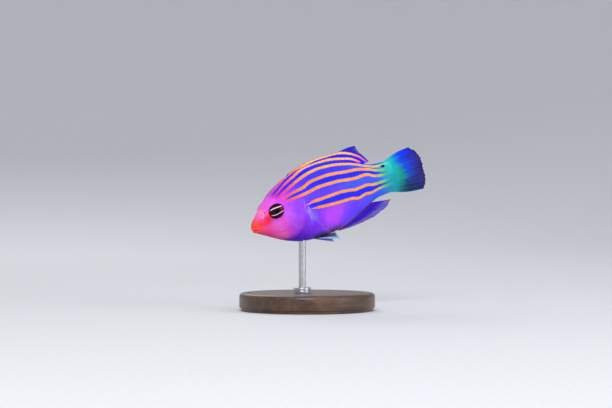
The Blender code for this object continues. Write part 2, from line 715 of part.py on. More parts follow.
def add_stand(torso):
    """A round base, a collar and the upright rod that holds the body."""
    meeting = rod_foot()
    rod_top = meeting.z + SOCKET_DEPTH
    rod_bottom = BASE_HEIGHT / 2.0
    base = add_part("stand_base", base_mesh(), "stand_wood")
    rod = add_part(
        "stand_rod", rod_mesh("stand_rod", ROD_RADIUS, rod_top - rod_bottom, ROD_SEGMENTS), "stand_steel"
    )
    rod.location = (meeting.x, 0.0, (rod_top + rod_bottom) / 2.0)
    reach = rod_top - rod_bottom + 2.0 * GAP
    for name, part in (("belly_socket", torso), ("base_socket", base)):
        socket = add_cutter(name, rod_mesh(name, ROD_RADIUS + GAP, reach, ROD_SEGMENTS))
        socket.location = rod.location
        cut_from(part, socket)
    collar = add_part(
        "stand_collar", rod_mesh("stand_collar", COLLAR_RADIUS, COLLAR_HEIGHT, ROD_SEGMENTS), "stand_steel"
    )
    collar.location = (meeting.x, 0.0, BASE_HEIGHT + GAP + COLLAR_HEIGHT / 2.0)
    cut_from(collar, bpy.data.objects["base_socket"])


def base_mesh():
    """The base, a round disc whose upper edge is rounded."""
    mesh = bpy.data.meshes.new("stand_base")
    shape = bmesh.new()
    bmesh.ops.create_cone(
        shape, cap_ends=True, segments=BASE_SEGMENTS, radius1=BASE_RADIUS, radius2=BASE_RADIUS,
        depth=BASE_HEIGHT,
    )
    bmesh.ops.translate(shape, verts=shape.verts, vec=(0.0, 0.0, BASE_HEIGHT / 2.0))
    rims = [edge for edge in shape.edges if edge.verts[0].co.z == edge.verts[1].co.z]
    upper = [edge for edge in rims if edge.verts[0].co.z > BASE_HEIGHT / 2.0]
    bmesh.ops.bevel(
        shape, geom=upper, offset=BASE_EDGE, segments=BASE_EDGE_STEPS, profile=0.5, affect="EDGES"
    )
    shape.to_mesh(mesh)
    shape.free()
    return mesh


def clear_scene():
    """Remove what the file opens with, and make the two collections."""
    for old in list(bpy.data.objects):
        bpy.data.objects.remove(old)
    for name in ("wrasse_model", "cutters"):
        collection = bpy.data.collections.new(name)
        bpy.context.scene.collection.children.link(collection)


def add_pose():
    """The empty that tips the fish and sets it over the stand."""
    pose = bpy.data.objects.new("pose", None)
    bpy.data.collections["wrasse_model"].objects.link(pose)
    pose.location = SNOUT_PLACE
    pose.rotation_euler = (0.0, -PITCH, 0.0)
    return pose


def main():
    """Build the whole model."""
    clear_scene()
    pose = add_pose()
    add_head(pose)
    torso = add_torso(pose)
    add_tail_stem(pose)
    add_dorsal_fin(pose)
    add_anal_fin(pose)
    add_tail_fin(pose)
    for name, side in (("left", -1.0), ("right", 1.0)):
        add_pectoral_fin("pectoral_fin_" + name, side, pose)
        add_pelvic_fin("pelvic_fin_" + name, side, PELVIC_DROP[name], pose)
    add_stand(torso)
    bpy.context.view_layer.update()


main()
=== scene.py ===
"""Looks of a still, life-size six-line wrasse on a plain display stand.

The fish is worked out in its own frame: x runs from the tip of the snout, at 0, to the root of
the tail fin, at 1, as shares of the standard length, z is up, and the left flank lies toward -Y.
Round the body, w runs over each flank from the middle of the back, at 0, to the belly's, at 1.
"""

import logging
import math
from dataclasses import dataclass, field
from enum import Enum
from functools import cached_property

import bpy
import numpy as np
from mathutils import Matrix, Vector


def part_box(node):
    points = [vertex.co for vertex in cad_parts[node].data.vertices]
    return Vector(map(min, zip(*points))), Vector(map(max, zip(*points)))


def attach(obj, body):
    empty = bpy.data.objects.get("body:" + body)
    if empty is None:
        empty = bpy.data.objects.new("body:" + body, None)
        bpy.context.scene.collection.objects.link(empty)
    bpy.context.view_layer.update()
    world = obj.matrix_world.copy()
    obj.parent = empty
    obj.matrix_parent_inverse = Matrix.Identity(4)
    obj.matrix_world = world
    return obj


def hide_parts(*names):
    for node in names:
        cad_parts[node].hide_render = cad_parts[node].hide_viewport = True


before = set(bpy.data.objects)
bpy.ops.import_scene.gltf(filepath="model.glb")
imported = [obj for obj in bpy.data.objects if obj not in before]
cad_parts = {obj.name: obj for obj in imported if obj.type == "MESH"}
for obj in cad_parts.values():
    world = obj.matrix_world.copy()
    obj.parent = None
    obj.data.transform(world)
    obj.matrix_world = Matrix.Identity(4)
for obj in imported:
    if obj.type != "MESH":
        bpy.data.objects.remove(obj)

log = logging.getLogger("wrasse")

Array = np.ndarray
Colour = tuple[float, float, float]
Points = tuple[tuple[float, ...], ...]
Step = tuple[float, float, float, float]
Faces = list[tuple[Array, Array]]
Fields = dict[str, Array]
Piece = bpy.types.Object
Socket = bpy.types.NodeSocket
MM = 0.001
TURN = 2.0 * math.pi


class Side(Enum):
    """The two flanks, by the sign of Y."""

    LEFT = -1.0
    RIGHT = 1.0

    @property
    def word(self) -> str:
        """The side as the names of pieces and nodes give it."""
        return self.name.lower()


def smooth_curve(points: Points, at: Array) -> Array:
    """A curve through the points that never overshoots them: cubic pieces, harmonic slopes.

    Args:
        points: Place and height of each point, in rising order of place.
        at: Places to read the curve at.

    Returns:
        The curve's height at each place.
    """
    places, heights = np.array(points, float).T
    steps = np.diff(places)
    slopes = np.diff(heights) / steps
    product = slopes[1:] * slopes[:-1]
    inner = np.zeros_like(product)
    np.divide(2.0 * product, slopes[1:] + slopes[:-1], out=inner, where=product > 0.0)
    tangents = np.concatenate(([slopes[0]], inner, [slopes[-1]]))
    at = np.asarray(at, float)
    piece = np.clip(np.searchsorted(places, at, side="right") - 1, 0, len(steps) - 1)
    part = np.clip((at - places[piece]) / steps[piece], 0.0, 1.0)
    rest = 1.0 - part
    return (
        heights[piece] * (1.0 + 2.0 * part) * rest**2 + tangents[piece] * steps[piece] * part * rest**2
        + heights[piece + 1] * (3.0 - 2.0 * part) * part**2
        - tangents[piece + 1] * steps[piece] * rest * part**2
    )


def table_curves(table: Points, at: Array) -> list[Array]:
    """Each later column of a table as a smooth curve over its first column, read at places."""
    places, *columns = np.array(table).T
    return [smooth_curve(np.stack((places, column), axis=-1), at) for column in columns]


def ease(low: float, high: float, value: Array) -> Array:
    """A smooth rise from 0 at low to 1 at high: three times the square less twice the cube.

    Args:
        low: Value where the rise starts; above high, the curve falls instead.
        high: Value where it ends.
        value: Values to read it at.

    Returns:
        The rise at each value.
    """
    share = np.clip((value - low) / (high - low), 0.0, 1.0)
    return share * share * (3.0 - 2.0 * share)


def hump(value: Array, width: float) -> Array:
    """A bell that is 1 at 0 and falls to 1/e at the width."""
    return np.exp(-((value / width) ** 2))


def blend(first: Array, second: object, share: Array) -> Array:
    """Colours that go from the first to the second as the share goes from 0 to 1."""
    return first + (np.array(second) - first) * share[..., None]


def unit(vectors: Array) -> Array:
    """The vectors, each made of length 1."""
    return vectors / np.maximum(np.linalg.norm(vectors, axis=-1, keepdims=True), 1e-12)


def polyline_distance(x: Array, z: Array, path: Points) -> Array:
    """Distance from each place to the nearest point of a line of straight stretches.

    Args:
        x: Places along the body.
        z: Heights.
        path: Corners of the line, as x and z.

    Returns:
        The least distance over the stretches, in the same unit.
    """
    best = np.full(np.shape(x), np.inf)
    for (ax, az), (bx, bz) in zip(path, path[1:]):
        span = (bx - ax) ** 2 + (bz - az) ** 2
        share = np.clip(((x - ax) * (bx - ax) + (z - az) * (bz - az)) / span, 0.0, 1.0)
        best = np.minimum(best, np.hypot(x - ax - share * (bx - ax), z - az - share * (bz - az)))
    return best


def grid_faces(rows: int, columns: int, wrap: bool) -> tuple[Array, Array]:
    """Quads over a grid whose point (row, column) has the number row * columns + column.

    Args:
        rows: Points along the first parameter.
        columns: Points along the second.
        wrap: Whether the last column joins the first.

    Returns:
        The quads, and for each of their corners its share of the way along and across.
    """
    across = columns if wrap else columns - 1
    row, column = (a.ravel() for a in np.meshgrid(np.arange(rows - 1), np.arange(across), indexing="ij"))
    corner_row = np.stack((row, row + 1, row + 1, row), axis=1)
    corner_column = np.stack((column, column, column + 1, column + 1), axis=1)
    shares = np.stack((corner_row / (rows - 1), corner_column / across), axis=-1)
    return corner_row * columns + corner_column % columns, shares


def fan_faces(ring: Array, pole: int, along: float) -> tuple[Array, Array]:
    """Triangles from a closed ring of points to one pole.

    Args:
        ring: Numbers of the ring's points, in order.
        pole: Number of the pole.
        along: The ring's share of the way along, for the map.

    Returns:
        The triangles, and for each of their corners its shares along and across.
    """
    share = np.arange(len(ring)) / len(ring)
    triangles = np.stack((ring, np.roll(ring, -1), np.full_like(ring, pole)), axis=1)
    across = np.stack((share, share + 1.0 / len(ring), share), axis=1)
    return triangles, np.stack((np.full_like(across, along), across), axis=-1)


def capped_grid(rows: int, columns: int, margin: float = 0.0) -> Faces:
    """Faces of a wrapped grid with a pole at each end, whose numbers follow the grid's.

    Args:
        rows: Points along.
        columns: Points round.
        margin: Share of the map's length kept free at each end for the fans.

    Returns:
        The quads and both fans, each with its map.
    """
    ring, count = np.arange(columns), rows * columns
    sides, shares = grid_faces(rows, columns, True)
    shares = shares * (1.0 - 2.0 * margin, 1.0) + (margin, 0.0)
    first = fan_faces(ring[::-1], count, margin / 2.0)
    return [(sides, shares), first, fan_faces(count - columns + ring, count + 1, 1.0 - margin / 2.0)]


def grid_border(rows: int, columns: int) -> tuple[Array, Array]:
    """Numbers of the points round an open grid, from its first row on, and their shares."""
    border = np.concatenate((
        np.arange(columns), np.arange(1, rows) * columns + columns - 1,
        (rows - 1) * columns + np.arange(columns - 2, -1, -1), np.arange(rows - 2, 0, -1) * columns,
    ))
    return border, np.stack((border // columns / (rows - 1), border % columns / (columns - 1)), axis=-1)


def enclosed(points: Array, faces: list[Array]) -> float:
    """Signed volume inside the faces, as the sum of the cones from the middle to each."""
    origin = points.mean(axis=0)
    total = 0.0
    for group in faces:
        corners = points[group] - origin
        for third in range(2, group.shape[1]):
            cross = np.cross(corners[:, third - 1], corners[:, third])
            total += float(np.einsum("ij,ij->", corners[:, 0], cross))
    return total


def make_piece(
    name: str, points: Array, parts: Faces, finish: "Finish", slot: str, nodes: tuple[str, ...] = (),
    fields: Fields | None = None, crease: float | None = None,
) -> Piece:
    """A mesh object from whole arrays, its faces turned outward, with its own map and fields.

    Args:
        name: The piece's name.
        points: Its points in the row frame, in metres.
        parts: Groups of faces with as many corners each, with their corners' map places.
        finish: What it is made of.
        slot: The part's slot that it dresses; not used.
        nodes: The nodes that it stands for.
        fields: Values at each point that its material reads, one number or three for a colour.
        crease: Angle in degrees above which an edge shows as sharp, or None for none.

    Returns:
        The object, riding on the one body.
    """
    faces, places = ([part[kind] for part in parts] for kind in (0, 1))
    if enclosed(points, faces) < 0.0:
        faces, places = ([group[:, ::-1] for group in groups] for groups in (faces, places))
    mesh = bpy.data.meshes.new(name)
    mesh.vertices.add(len(points))
    mesh.vertices.foreach_set("co", points.astype(np.float32).ravel())
    corners = np.concatenate([group.ravel() for group in faces])
    sizes = np.concatenate([np.full(len(group), group.shape[1]) for group in faces])
    mesh.loops.add(len(corners))
    mesh.loops.foreach_set("vertex_index", corners.astype(np.int32))
    mesh.polygons.add(len(sizes))
    mesh.polygons.foreach_set("loop_start", (np.cumsum(sizes) - sizes).astype(np.int32))
    mesh.update(calc_edges=True)
    layer = mesh.uv_layers.new(name="OFBake")
    spread = np.concatenate([group.reshape(-1, 2) for group in places])
    layer.uv.foreach_set("vector", spread.astype(np.float32).ravel())
    for label, values in (fields or {}).items():
        store_field(mesh, label, np.asarray(values, np.float32))
    mesh.shade_smooth()
    if crease is not None:
        mesh.set_sharp_from_angle(angle=math.radians(crease))
    mesh.materials.append(finish.make())
    piece = bpy.data.objects.new(name, mesh)
    bpy.context.scene.collection.objects.link(piece)
    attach(piece, "root")
    if nodes:
        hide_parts(*nodes)
    log.info("%s: %d faces", piece.name, len(mesh.polygons))
    return piece


def store_field(mesh: bpy.types.Mesh, label: str, values: Array) -> None:
    """Store a value, or a colour where it has three parts, at each point of a mesh."""
    if values.ndim == 2:
        opaque = np.concatenate((values, np.ones((len(values), 1), np.float32)), axis=1)
        mesh.attributes.new(label, "FLOAT_COLOR", "POINT").data.foreach_set("color", opaque.ravel())
    else:
        mesh.attributes.new(label, "FLOAT", "POINT").data.foreach_set("value", values.ravel())


class Wiring:
    """Adds nodes to a tree and wires them, one call for each node."""

    def __init__(self, tree: bpy.types.NodeTree) -> None:
        """Keep the tree to work in."""
        self.tree = tree

    def add(self, kind: str, inputs: dict | None = None, **settings: object) -> bpy.types.Node:
        """Add one node.

        Args:
            kind: The node's type.
            inputs: A value or another node's output for each named or numbered input.
            settings: The node's own settings.

        Returns:
            The node.
        """
        node = self.tree.nodes.new(kind)
        for label, value in settings.items():
            setattr(node, label, value)
        for label, value in (inputs or {}).items():
            self.feed(node.inputs[label], value)
        return node

    def feed(self, socket: Socket, value: object) -> None:
        """Wire an output to an input, or set the input's own value."""
        if isinstance(value, Socket):
            self.tree.links.new(value, socket)
        elif isinstance(value, tuple) and socket.type == "RGBA":
            socket.default_value = (*value, 1.0)
        else:
            socket.default_value = value

    def field(self, label: str) -> Socket:
        """One number of the mesh's own field."""
        return self.add("ShaderNodeAttribute", attribute_name=label).outputs["Fac"]

    def tint(self, label: str) -> Socket:
        """The colour of the mesh's own field."""
        return self.add("ShaderNodeAttribute", attribute_name=label).outputs["Color"]

    def place(self) -> Socket:
        """Object coordinates."""
        return self.add("ShaderNodeTexCoord").outputs["Object"]

    def math(self, operation: str, first: object, second: object = 0.0) -> Socket:
        """One operation of arithmetic."""
        return self.add("ShaderNodeMath", {0: first, 1: second}, operation=operation).outputs[0]

    def times(self, product: object, *factors: object) -> Socket:
        """The product of two or more values."""
        for factor in factors:
            product = self.math("MULTIPLY", product, factor)
        return product

    def span(self, value: object, low: float, high: float, start: float = 0.0, end: float = 1.0) -> Socket:
        """A smooth step from start, where the value is low, to end, where it is high."""
        inputs = {0: value, 1: low, 2: high, 3: start, 4: end}
        return self.add("ShaderNodeMapRange", inputs, interpolation_type="SMOOTHSTEP").outputs[0]

    def mix(self, share: object, first: object, second: object, way: str = "MIX") -> Socket:
        """A colour, and a share of a second one laid on it in a way of blending."""
        inputs = {0: share, 6: first, 7: second}
        return self.add("ShaderNodeMix", inputs, data_type="RGBA", blend_type=way).outputs[2]

    def layers(self, colour: object, *laid: tuple) -> Socket:
        """Lay colours over the first in turn, each given as its share, itself and perhaps its way."""
        for share, *rest in laid:
            colour = self.mix(share, colour, *rest)
        return colour

    def noise(self, scale: float, detail: float = 2.0, vector: object = None) -> Socket:
        """Noise between 0 and 1.

        Args:
            scale: How many swells it has to the metre.
            detail: Octaves.
            vector: Where it is read, or None for Object coordinates.

        Returns:
            Its value.
        """
        inputs = {"Vector": self.place() if vector is None else vector, "Scale": scale, "Detail": detail}
        return self.add("ShaderNodeTexNoise", inputs).outputs[0]

    def stretched(self, scale: Colour, detail: float) -> Socket:
        """Noise of Object coordinates, with swells to the metre of its own along each axis."""
        node = self.add("ShaderNodeMapping", {"Vector": self.place(), "Scale": scale})
        return self.noise(1.0, detail, node.outputs[0])

    def ragged(self, gap: object) -> Socket:
        """A distance in millimetres from a line's middle, uneven as small scales would break it."""
        wobble = self.times(self.math("SUBTRACT", self.noise(1500.0, 3.0), 0.5), 0.34)
        return self.math("ADD", gap, wobble)

    def ramp(self, value: object, stops: Points) -> Socket:
        """A colour that runs through stops, each given as its place, red, green and blue."""
        node = self.add("ShaderNodeValToRGB", {0: value})
        elements = node.color_ramp.elements
        while len(elements) < len(stops):
            elements.new(0.5)
        for element, (place, *colour) in zip(elements, stops):
            element.position = place
            element.color = (*colour, 1.0)
        return node.outputs[0]

    def relief(self, height: object, depth_mm: float) -> Socket:
        """A normal bent by a height, whose full range stands for a depth in millimetres."""
        inputs = {"Height": height, "Distance": depth_mm * MM, "Strength": 1.0}
        return self.add("ShaderNodeBump", inputs).outputs[0]


class SocketKind(Enum):
    """Kinds of sockets that the groups have."""

    VALUE = "NodeSocketFloat"
    COLOUR = "NodeSocketColor"


class EffectGroup:
    """A node group that several finishes share: its inputs' defaults, its outputs, its wiring."""

    name: str
    inputs: dict[str, float | Colour]
    outputs: dict[str, SocketKind]

    def tree(self) -> bpy.types.NodeTree:
        """The group's tree, built the first time it is asked for."""
        if self.name in bpy.data.node_groups:
            return bpy.data.node_groups[self.name]
        tree = bpy.data.node_groups.new(self.name, "ShaderNodeTree")
        for label, value in self.inputs.items():
            kind = SocketKind.COLOUR if isinstance(value, tuple) else SocketKind.VALUE
            socket = tree.interface.new_socket(name=label, in_out="INPUT", socket_type=kind.value)
            socket.default_value = (*value, 1.0) if kind is SocketKind.COLOUR else value
        for label, kind in self.outputs.items():
            tree.interface.new_socket(name=label, in_out="OUTPUT", socket_type=kind.value)
        wiring = Wiring(tree)
        entry = wiring.add("NodeGroupInput")
        self.wire(wiring, entry.outputs, wiring.add("NodeGroupOutput").inputs)
        return tree

    def wire(self, wiring: Wiring, given: object, wanted: object) -> None:
        """Wire the group's inside, from its given inputs to its wanted outputs."""
        raise NotImplementedError

    def put(self, wiring: Wiring, **values: object) -> object:
        """Place the group in a material, with _ for a space in an input's name, for its outputs."""
        node = wiring.add("ShaderNodeGroup", node_tree=self.tree())
        for label, value in values.items():
            wiring.feed(node.inputs[label.replace("_", " ")], value)
        return node.outputs


class Speckle(EffectGroup):
    """Fine pigment grains and broader clouds, from noise at two sizes."""

    name = "pigment_speckle"
    inputs = {"Grains per metre": 5000.0, "Clouds per metre": 260.0}
    outputs = {"Grains": SocketKind.VALUE, "Clouds": SocketKind.VALUE}

    def wire(self, wiring: Wiring, given: object, wanted: object) -> None:
        """Read noise at both sizes."""
        wiring.feed(wanted["Grains"], wiring.noise(given["Grains per metre"], 3.0))
        wiring.feed(wanted["Clouds"], wiring.noise(given["Clouds per metre"], 2.0))


class Stripes(EffectGroup):
    """The six lines of the flank and the one below: lines at each whole number of the phase."""

    name = "wrasse_stripes"
    inputs = {"Ground": (0.1, 0.1, 0.8), "Phase": 0.0, "Pitch": 2.0, "Fade": 1.0, "Along": 0.5, "Spot": 2.0}
    outputs = {"Colour": SocketKind.COLOUR}
    last_line = 7.0
    thin_front: Step = (0.20, 0.38, 1.50, 1.0)
    band_phases = 8.0
    bands: Points = (
        (0.0, 0, 0, 0), (0.13, 1, 1, 1), (0.36, 1, 1, 1), (0.40, 0, 0, 0), (0.48, 0, 0, 0), (0.52, 1, 1, 1),
        (0.61, 1, 1, 1), (0.64, 0, 0, 0), (0.74, 0, 0, 0), (0.77, 1, 1, 1), (0.86, 1, 1, 1), (0.90, 0, 0, 0),
    )
    band_rear: Step = (0.90, 1.0, 1.0, 0.3)
    band_strength = 0.92
    band_blue: Colour = (0.004, 0.014, 0.84)
    halo: Step = (0.48, 0.70, 1.0, 0.0)
    halo_rear: Step = (0.80, 0.92, 0.60, 0.10)
    halo_pink: Colour = (0.80, 0.12, 0.46)
    core: Step = (0.37, 0.51, 1.0, 0.0)
    hues: Points = (
        (0.19, 0.78, 0.015, 0.05), (0.25, 0.90, 0.07, 0.01), (0.34, 0.98, 0.25, 0.0), (0.55, 0.98, 0.36, 0.0),
        (0.86, 0.95, 0.40, 0.0), (0.92, 0.62, 0.50, 0.0), (0.957, 0.20, 0.62, 0.01), (0.99, 0.02, 0.52, 0.12),
    )
    yellow_lines: tuple[float, float] = (3.4, 2.3)
    yellow_front: tuple[float, float] = (0.32, 0.46)
    yellow_strength = 0.85
    yellow: Colour = (1.0, 0.78, 0.0)
    spot: Step = (0.80, 1.15, 1.0, 0.0)
    spot_colour: Colour = (0.002, 0.001, 0.10)

    def wire(self, wiring: Wiring, given: object, wanted: object) -> None:
        """Lay bands, halos, lines and the spot over the ground, in that order."""
        phase, fade, along = given["Phase"], given["Fade"], given["Along"]
        nearest = wiring.math("MAXIMUM", wiring.math("ROUND", phase), 1.0)
        nearest = wiring.math("MINIMUM", nearest, self.last_line)
        away = wiring.math("ABSOLUTE", wiring.math("SUBTRACT", phase, nearest))
        gap = wiring.ragged(wiring.times(away, given["Pitch"], wiring.span(along, *self.thin_front)))
        banded = wiring.ramp(wiring.math("DIVIDE", phase, self.band_phases), self.bands)
        banded = wiring.times(banded, fade, wiring.span(along, *self.band_rear), self.band_strength)
        halo = wiring.times(wiring.span(gap, *self.halo), fade, wiring.span(along, *self.halo_rear))
        line = wiring.times(wiring.span(gap, *self.core), fade)
        yellow = wiring.times(
            wiring.span(phase, *self.yellow_lines), wiring.span(along, *self.yellow_front),
            self.yellow_strength,
        )
        hue = wiring.mix(yellow, wiring.ramp(along, self.hues), self.yellow)
        wiring.feed(wanted["Colour"], wiring.layers(
            given["Ground"], (banded, self.band_blue), (halo, self.halo_pink), (line, hue),
            (wiring.span(given["Spot"], *self.spot), self.spot_colour),
        ))


class FinRays(EffectGroup):
    """Rays of a fin: jointed ridges that are paler than the skin stretched between them."""

    name = "fin_rays"
    inputs = {
        "Membrane": (0.1, 0.1, 0.8), "Ray colour": (0.3, 0.3, 0.9), "Ray": 0.0, "Millimetres": 0.0,
        "Ray strength": 0.5,
    }
    outputs = {"Colour": SocketKind.COLOUR, "Height": SocketKind.VALUE}
    joint_mm = 0.45
    joint: tuple[float, float] = (0.70, 0.98)
    joint_strength = 0.35
    joint_colour: Colour = (0.01, 0.01, 0.05)
    shown: Step = (0.5, 8.0, 0.15, 1.0)
    grains: Step = (0.35, 0.75, 0.0, 0.22)
    grain_colour: Colour = (0.25, 0.28, 0.55)

    def wire(self, wiring: Wiring, given: object, wanted: object) -> None:
        """Joint the rays, and streak the membrane along them."""
        ray, out = given["Ray"], given["Millimetres"]
        joint = wiring.span(wiring.math("COSINE", wiring.times(out, TURN / self.joint_mm)), *self.joint)
        joint = wiring.times(joint, ray)
        grain = wiring.noise(3200.0, 3.0)
        wiring.feed(wanted["Colour"], wiring.layers(
            given["Membrane"],
            (wiring.times(ray, given["Ray strength"], wiring.span(out, *self.shown)), given["Ray colour"]),
            (wiring.times(joint, self.joint_strength), self.joint_colour, "MULTIPLY"),
            (wiring.span(grain, *self.grains), self.grain_colour, "MULTIPLY"),
        ))
        height = wiring.math("SUBTRACT", wiring.times(grain, 0.6), wiring.times(joint, 0.8))
        wiring.feed(wanted["Height"], height)


SPECKLE = Speckle()
STRIPES = Stripes()
FIN_RAYS = FinRays()


@dataclass(frozen=True)
class Finish:
    """A material: what is the same all over it is set here, and the subclasses wire the rest."""

    name: str
    roughness: float = 0.35
    coat: float = 0.0
    coat_roughness: float = 0.08
    specular: float = 0.5
    metallic: float = 0.0

    def make(self) -> bpy.types.Material:
        """Make the material, or give the one that is made already."""
        if self.name in bpy.data.materials:
            return bpy.data.materials[self.name]
        material = bpy.data.materials.new(self.name)
        material.use_nodes = True
        shader = material.node_tree.nodes["Principled BSDF"].inputs
        shader["Roughness"].default_value = self.roughness
        shader["Coat Weight"].default_value = self.coat
        shader["Coat Roughness"].default_value = self.coat_roughness
        shader["Specular IOR Level"].default_value = self.specular
        shader["Metallic"].default_value = self.metallic
        self.wire(Wiring(material.node_tree), shader)
        return material

    def wire(self, wiring: Wiring, shader: object) -> None:
        """Wire what changes over the surface into the shader's inputs."""
        raise NotImplementedError


def striped_colour(wiring: Wiring) -> Socket:
    """The stripes' colour, read from the fields that the skin and the scales both carry."""
    fields = {label.title(): wiring.field(label) for label in ("phase", "pitch", "fade", "along", "spot")}
    return STRIPES.put(wiring, Ground=wiring.tint("ground"), **fields)["Colour"]


class SkinFinish(Finish):
    """Wet skin of the head and the bed of the scales."""

    grains: Step = (0.45, 0.75, 0.0, 0.30)
    grain_colour: Colour = (0.60, 0.35, 0.75)
    clouds: Step = (0.40, 0.70, 0.0, 0.12)
    cloud_colour: Colour = (1.0, 0.50, 0.80)
    cheek: tuple[tuple[str, Step], ...] = (
        ("along", (0.07, 0.15, 0.0, 1.0)), ("along", (0.24, 0.36, 1.0, 0.0)), ("phase", (4.8, 5.6, 0.0, 1.0)),
    )
    marks: tuple[tuple[str, Step, Colour], ...] = (
        ("pale_rim", (0.15, 0.95, 0.0, 0.45), (0.66, 0.32, 0.95)),
        ("lip", (0.3, 0.95, 0.0, 0.35), (0.98, 0.10, 0.025)),
        # Painted shade: near black where the skin is sunk, in the mouth slot, nostril pits, gill slit and eye
        # socket.
        ("hollow", (0.20, 0.90, 0.0, 0.94), (0.030, 0.002, 0.005)),
    )
    dull: Step = (0.2, 0.8, 0.34, 0.52)

    def wire(self, wiring: Wiring, shader: object) -> None:
        """Stripes, clouded cheeks, gill rim, lips, painted shade in the mouth, nostrils, gill slit and eye
        socket, and faint scaling.
        """
        speckle = SPECKLE.put(wiring)
        grains = speckle["Grains"]
        on_cheek = [wiring.span(wiring.field(label), *step) for label, step in self.cheek]
        wiring.feed(shader["Base Color"], wiring.layers(
            striped_colour(wiring),
            (wiring.span(grains, *self.grains), self.grain_colour, "MULTIPLY"),
            (wiring.times(wiring.span(speckle["Clouds"], *self.clouds), *on_cheek), self.cloud_colour),
            *((wiring.span(wiring.field(label), *step), tint) for label, step, tint in self.marks),
        ))
        inputs = {"Vector": wiring.place(), "Scale": 1900.0}
        cells = wiring.add("ShaderNodeTexVoronoi", inputs, feature="SMOOTH_F1").outputs["Distance"]
        wiring.feed(shader["Roughness"], wiring.span(grains, *self.dull))
        height = wiring.math("ADD", wiring.times(cells, 0.8), grains)
        wiring.feed(shader["Normal"], wiring.relief(height, 0.016))


class ScaleFinish(Finish):
    """Scales: the same marks as the skin, with a clear paler rim, painted shade toward the root and fine
    growth rings.
    """

    tones: Step = (0.0, 1.0, 0.0, 0.22)
    tone_colour: Colour = (0.35, 0.40, 0.85)
    rim: Step = (0.82, 0.97, 0.0, 0.035)
    rim_colour: Colour = (0.50, 0.34, 0.98)
    # Painted shade: each scale darkened toward its root, where it lies under the scale in front.
    root: Step = (0.55, 0.10, 0.0, 0.45)
    root_colour: Colour = (0.34, 0.28, 0.66)
    grains: Step = (0.45, 0.75, 0.0, 0.22)
    grain_colour: Colour = (0.50, 0.40, 0.80)
    dull: Step = (0.2, 0.8, 0.32, 0.50)
    rings = 13.0

    def wire(self, wiring: Wiring, shader: object) -> None:
        """Stripes, rims, painted shade at the roots, rings and a small change of tone from scale to scale."""
        grains = SPECKLE.put(wiring, Grains_per_metre=7000.0)["Grains"]
        rim = wiring.field("rim")
        wiring.feed(shader["Base Color"], wiring.layers(
            striped_colour(wiring),
            (wiring.span(wiring.field("tone"), *self.tones), self.tone_colour, "MULTIPLY"),
            (wiring.span(rim, *self.rim), self.rim_colour),
            # Painted shade at the root.
            (wiring.span(rim, *self.root), self.root_colour, "MULTIPLY"),
            (wiring.span(grains, *self.grains), self.grain_colour, "MULTIPLY"),
        ))
        rings = wiring.math("SINE", wiring.times(rim, TURN * self.rings))
        wiring.feed(shader["Roughness"], wiring.span(grains, *self.dull))
        height = wiring.math("ADD", wiring.times(rings, 0.16), grains)
        wiring.feed(shader["Normal"], wiring.relief(height, 0.022))


@dataclass(frozen=True)
class FinFinish(Finish):
    """Fin skin over rays, with its own colours from the piece's tint field."""

    ray_colour: Colour = (0.3, 0.3, 0.9)
    ray_strength: float = 0.5
    clear: float = 0.8
    ray_cover: float = 0.85
    tip_cover: float = 1.0
    lined: bool = False
    edge_colour: Colour = (0.10, 0.20, 0.95)
    edge: Step = (0.93, 0.99, 0.0, 0.65)
    outward: tuple[float, float] = (0.15, 0.70)
    halo: Step = (0.36, 0.62, 0.60, 0.0)
    halo_pink: Colour = (0.80, 0.13, 0.50)
    core: Step = (0.26, 0.42, 1.0, 0.0)
    hues: Points = (
        (0.33, 0.98, 0.22, 0.0), (0.50, 0.98, 0.60, 0.0), (0.78, 0.98, 0.62, 0.0), (0.84, 0.98, 0.30, 0.0),
        (0.89, 0.98, 0.09, 0.0),
    )

    def wire(self, wiring: Wiring, shader: object) -> None:
        """Tint, line marks, rays and edge, with the membrane clearer toward the margin."""
        ray, reach = wiring.field("ray"), wiring.field("reach")
        membrane = wiring.tint("tint")
        marks = FIN_RAYS.put(
            wiring, Membrane=self.line_marks(wiring, membrane) if self.lined else membrane,
            Ray_colour=self.ray_colour, Ray=ray, Millimetres=wiring.field("millimetres"),
            Ray_strength=self.ray_strength,
        )
        colour = wiring.mix(wiring.span(reach, *self.edge), marks["Colour"], self.edge_colour)
        wiring.feed(shader["Base Color"], colour)
        cover = wiring.span(wiring.field("thin"), 0.0, 1.0, 1.0, self.clear)
        on_rays = wiring.span(reach, *self.outward, self.ray_cover, self.ray_cover * self.tip_cover)
        wiring.feed(shader["Alpha"], wiring.math("MAXIMUM", cover, wiring.times(ray, on_rays)))
        wiring.feed(shader["Normal"], wiring.relief(marks["Height"], 0.035))

    def line_marks(self, wiring: Wiring, below: object) -> Socket:
        """The upper two stripes of the back, which run on over the dorsal fin."""
        hue = wiring.ramp(wiring.field("along"), self.hues)
        for line in ("upper", "lower"):
            gap = wiring.ragged(wiring.math("ABSOLUTE", wiring.field(f"{line}_line")))
            fade = wiring.field(f"{line}_fade")
            halo, core = (wiring.times(wiring.span(gap, *step), fade) for step in (self.halo, self.core))
            below = wiring.layers(below, (halo, self.halo_pink), (core, hue))
        return below


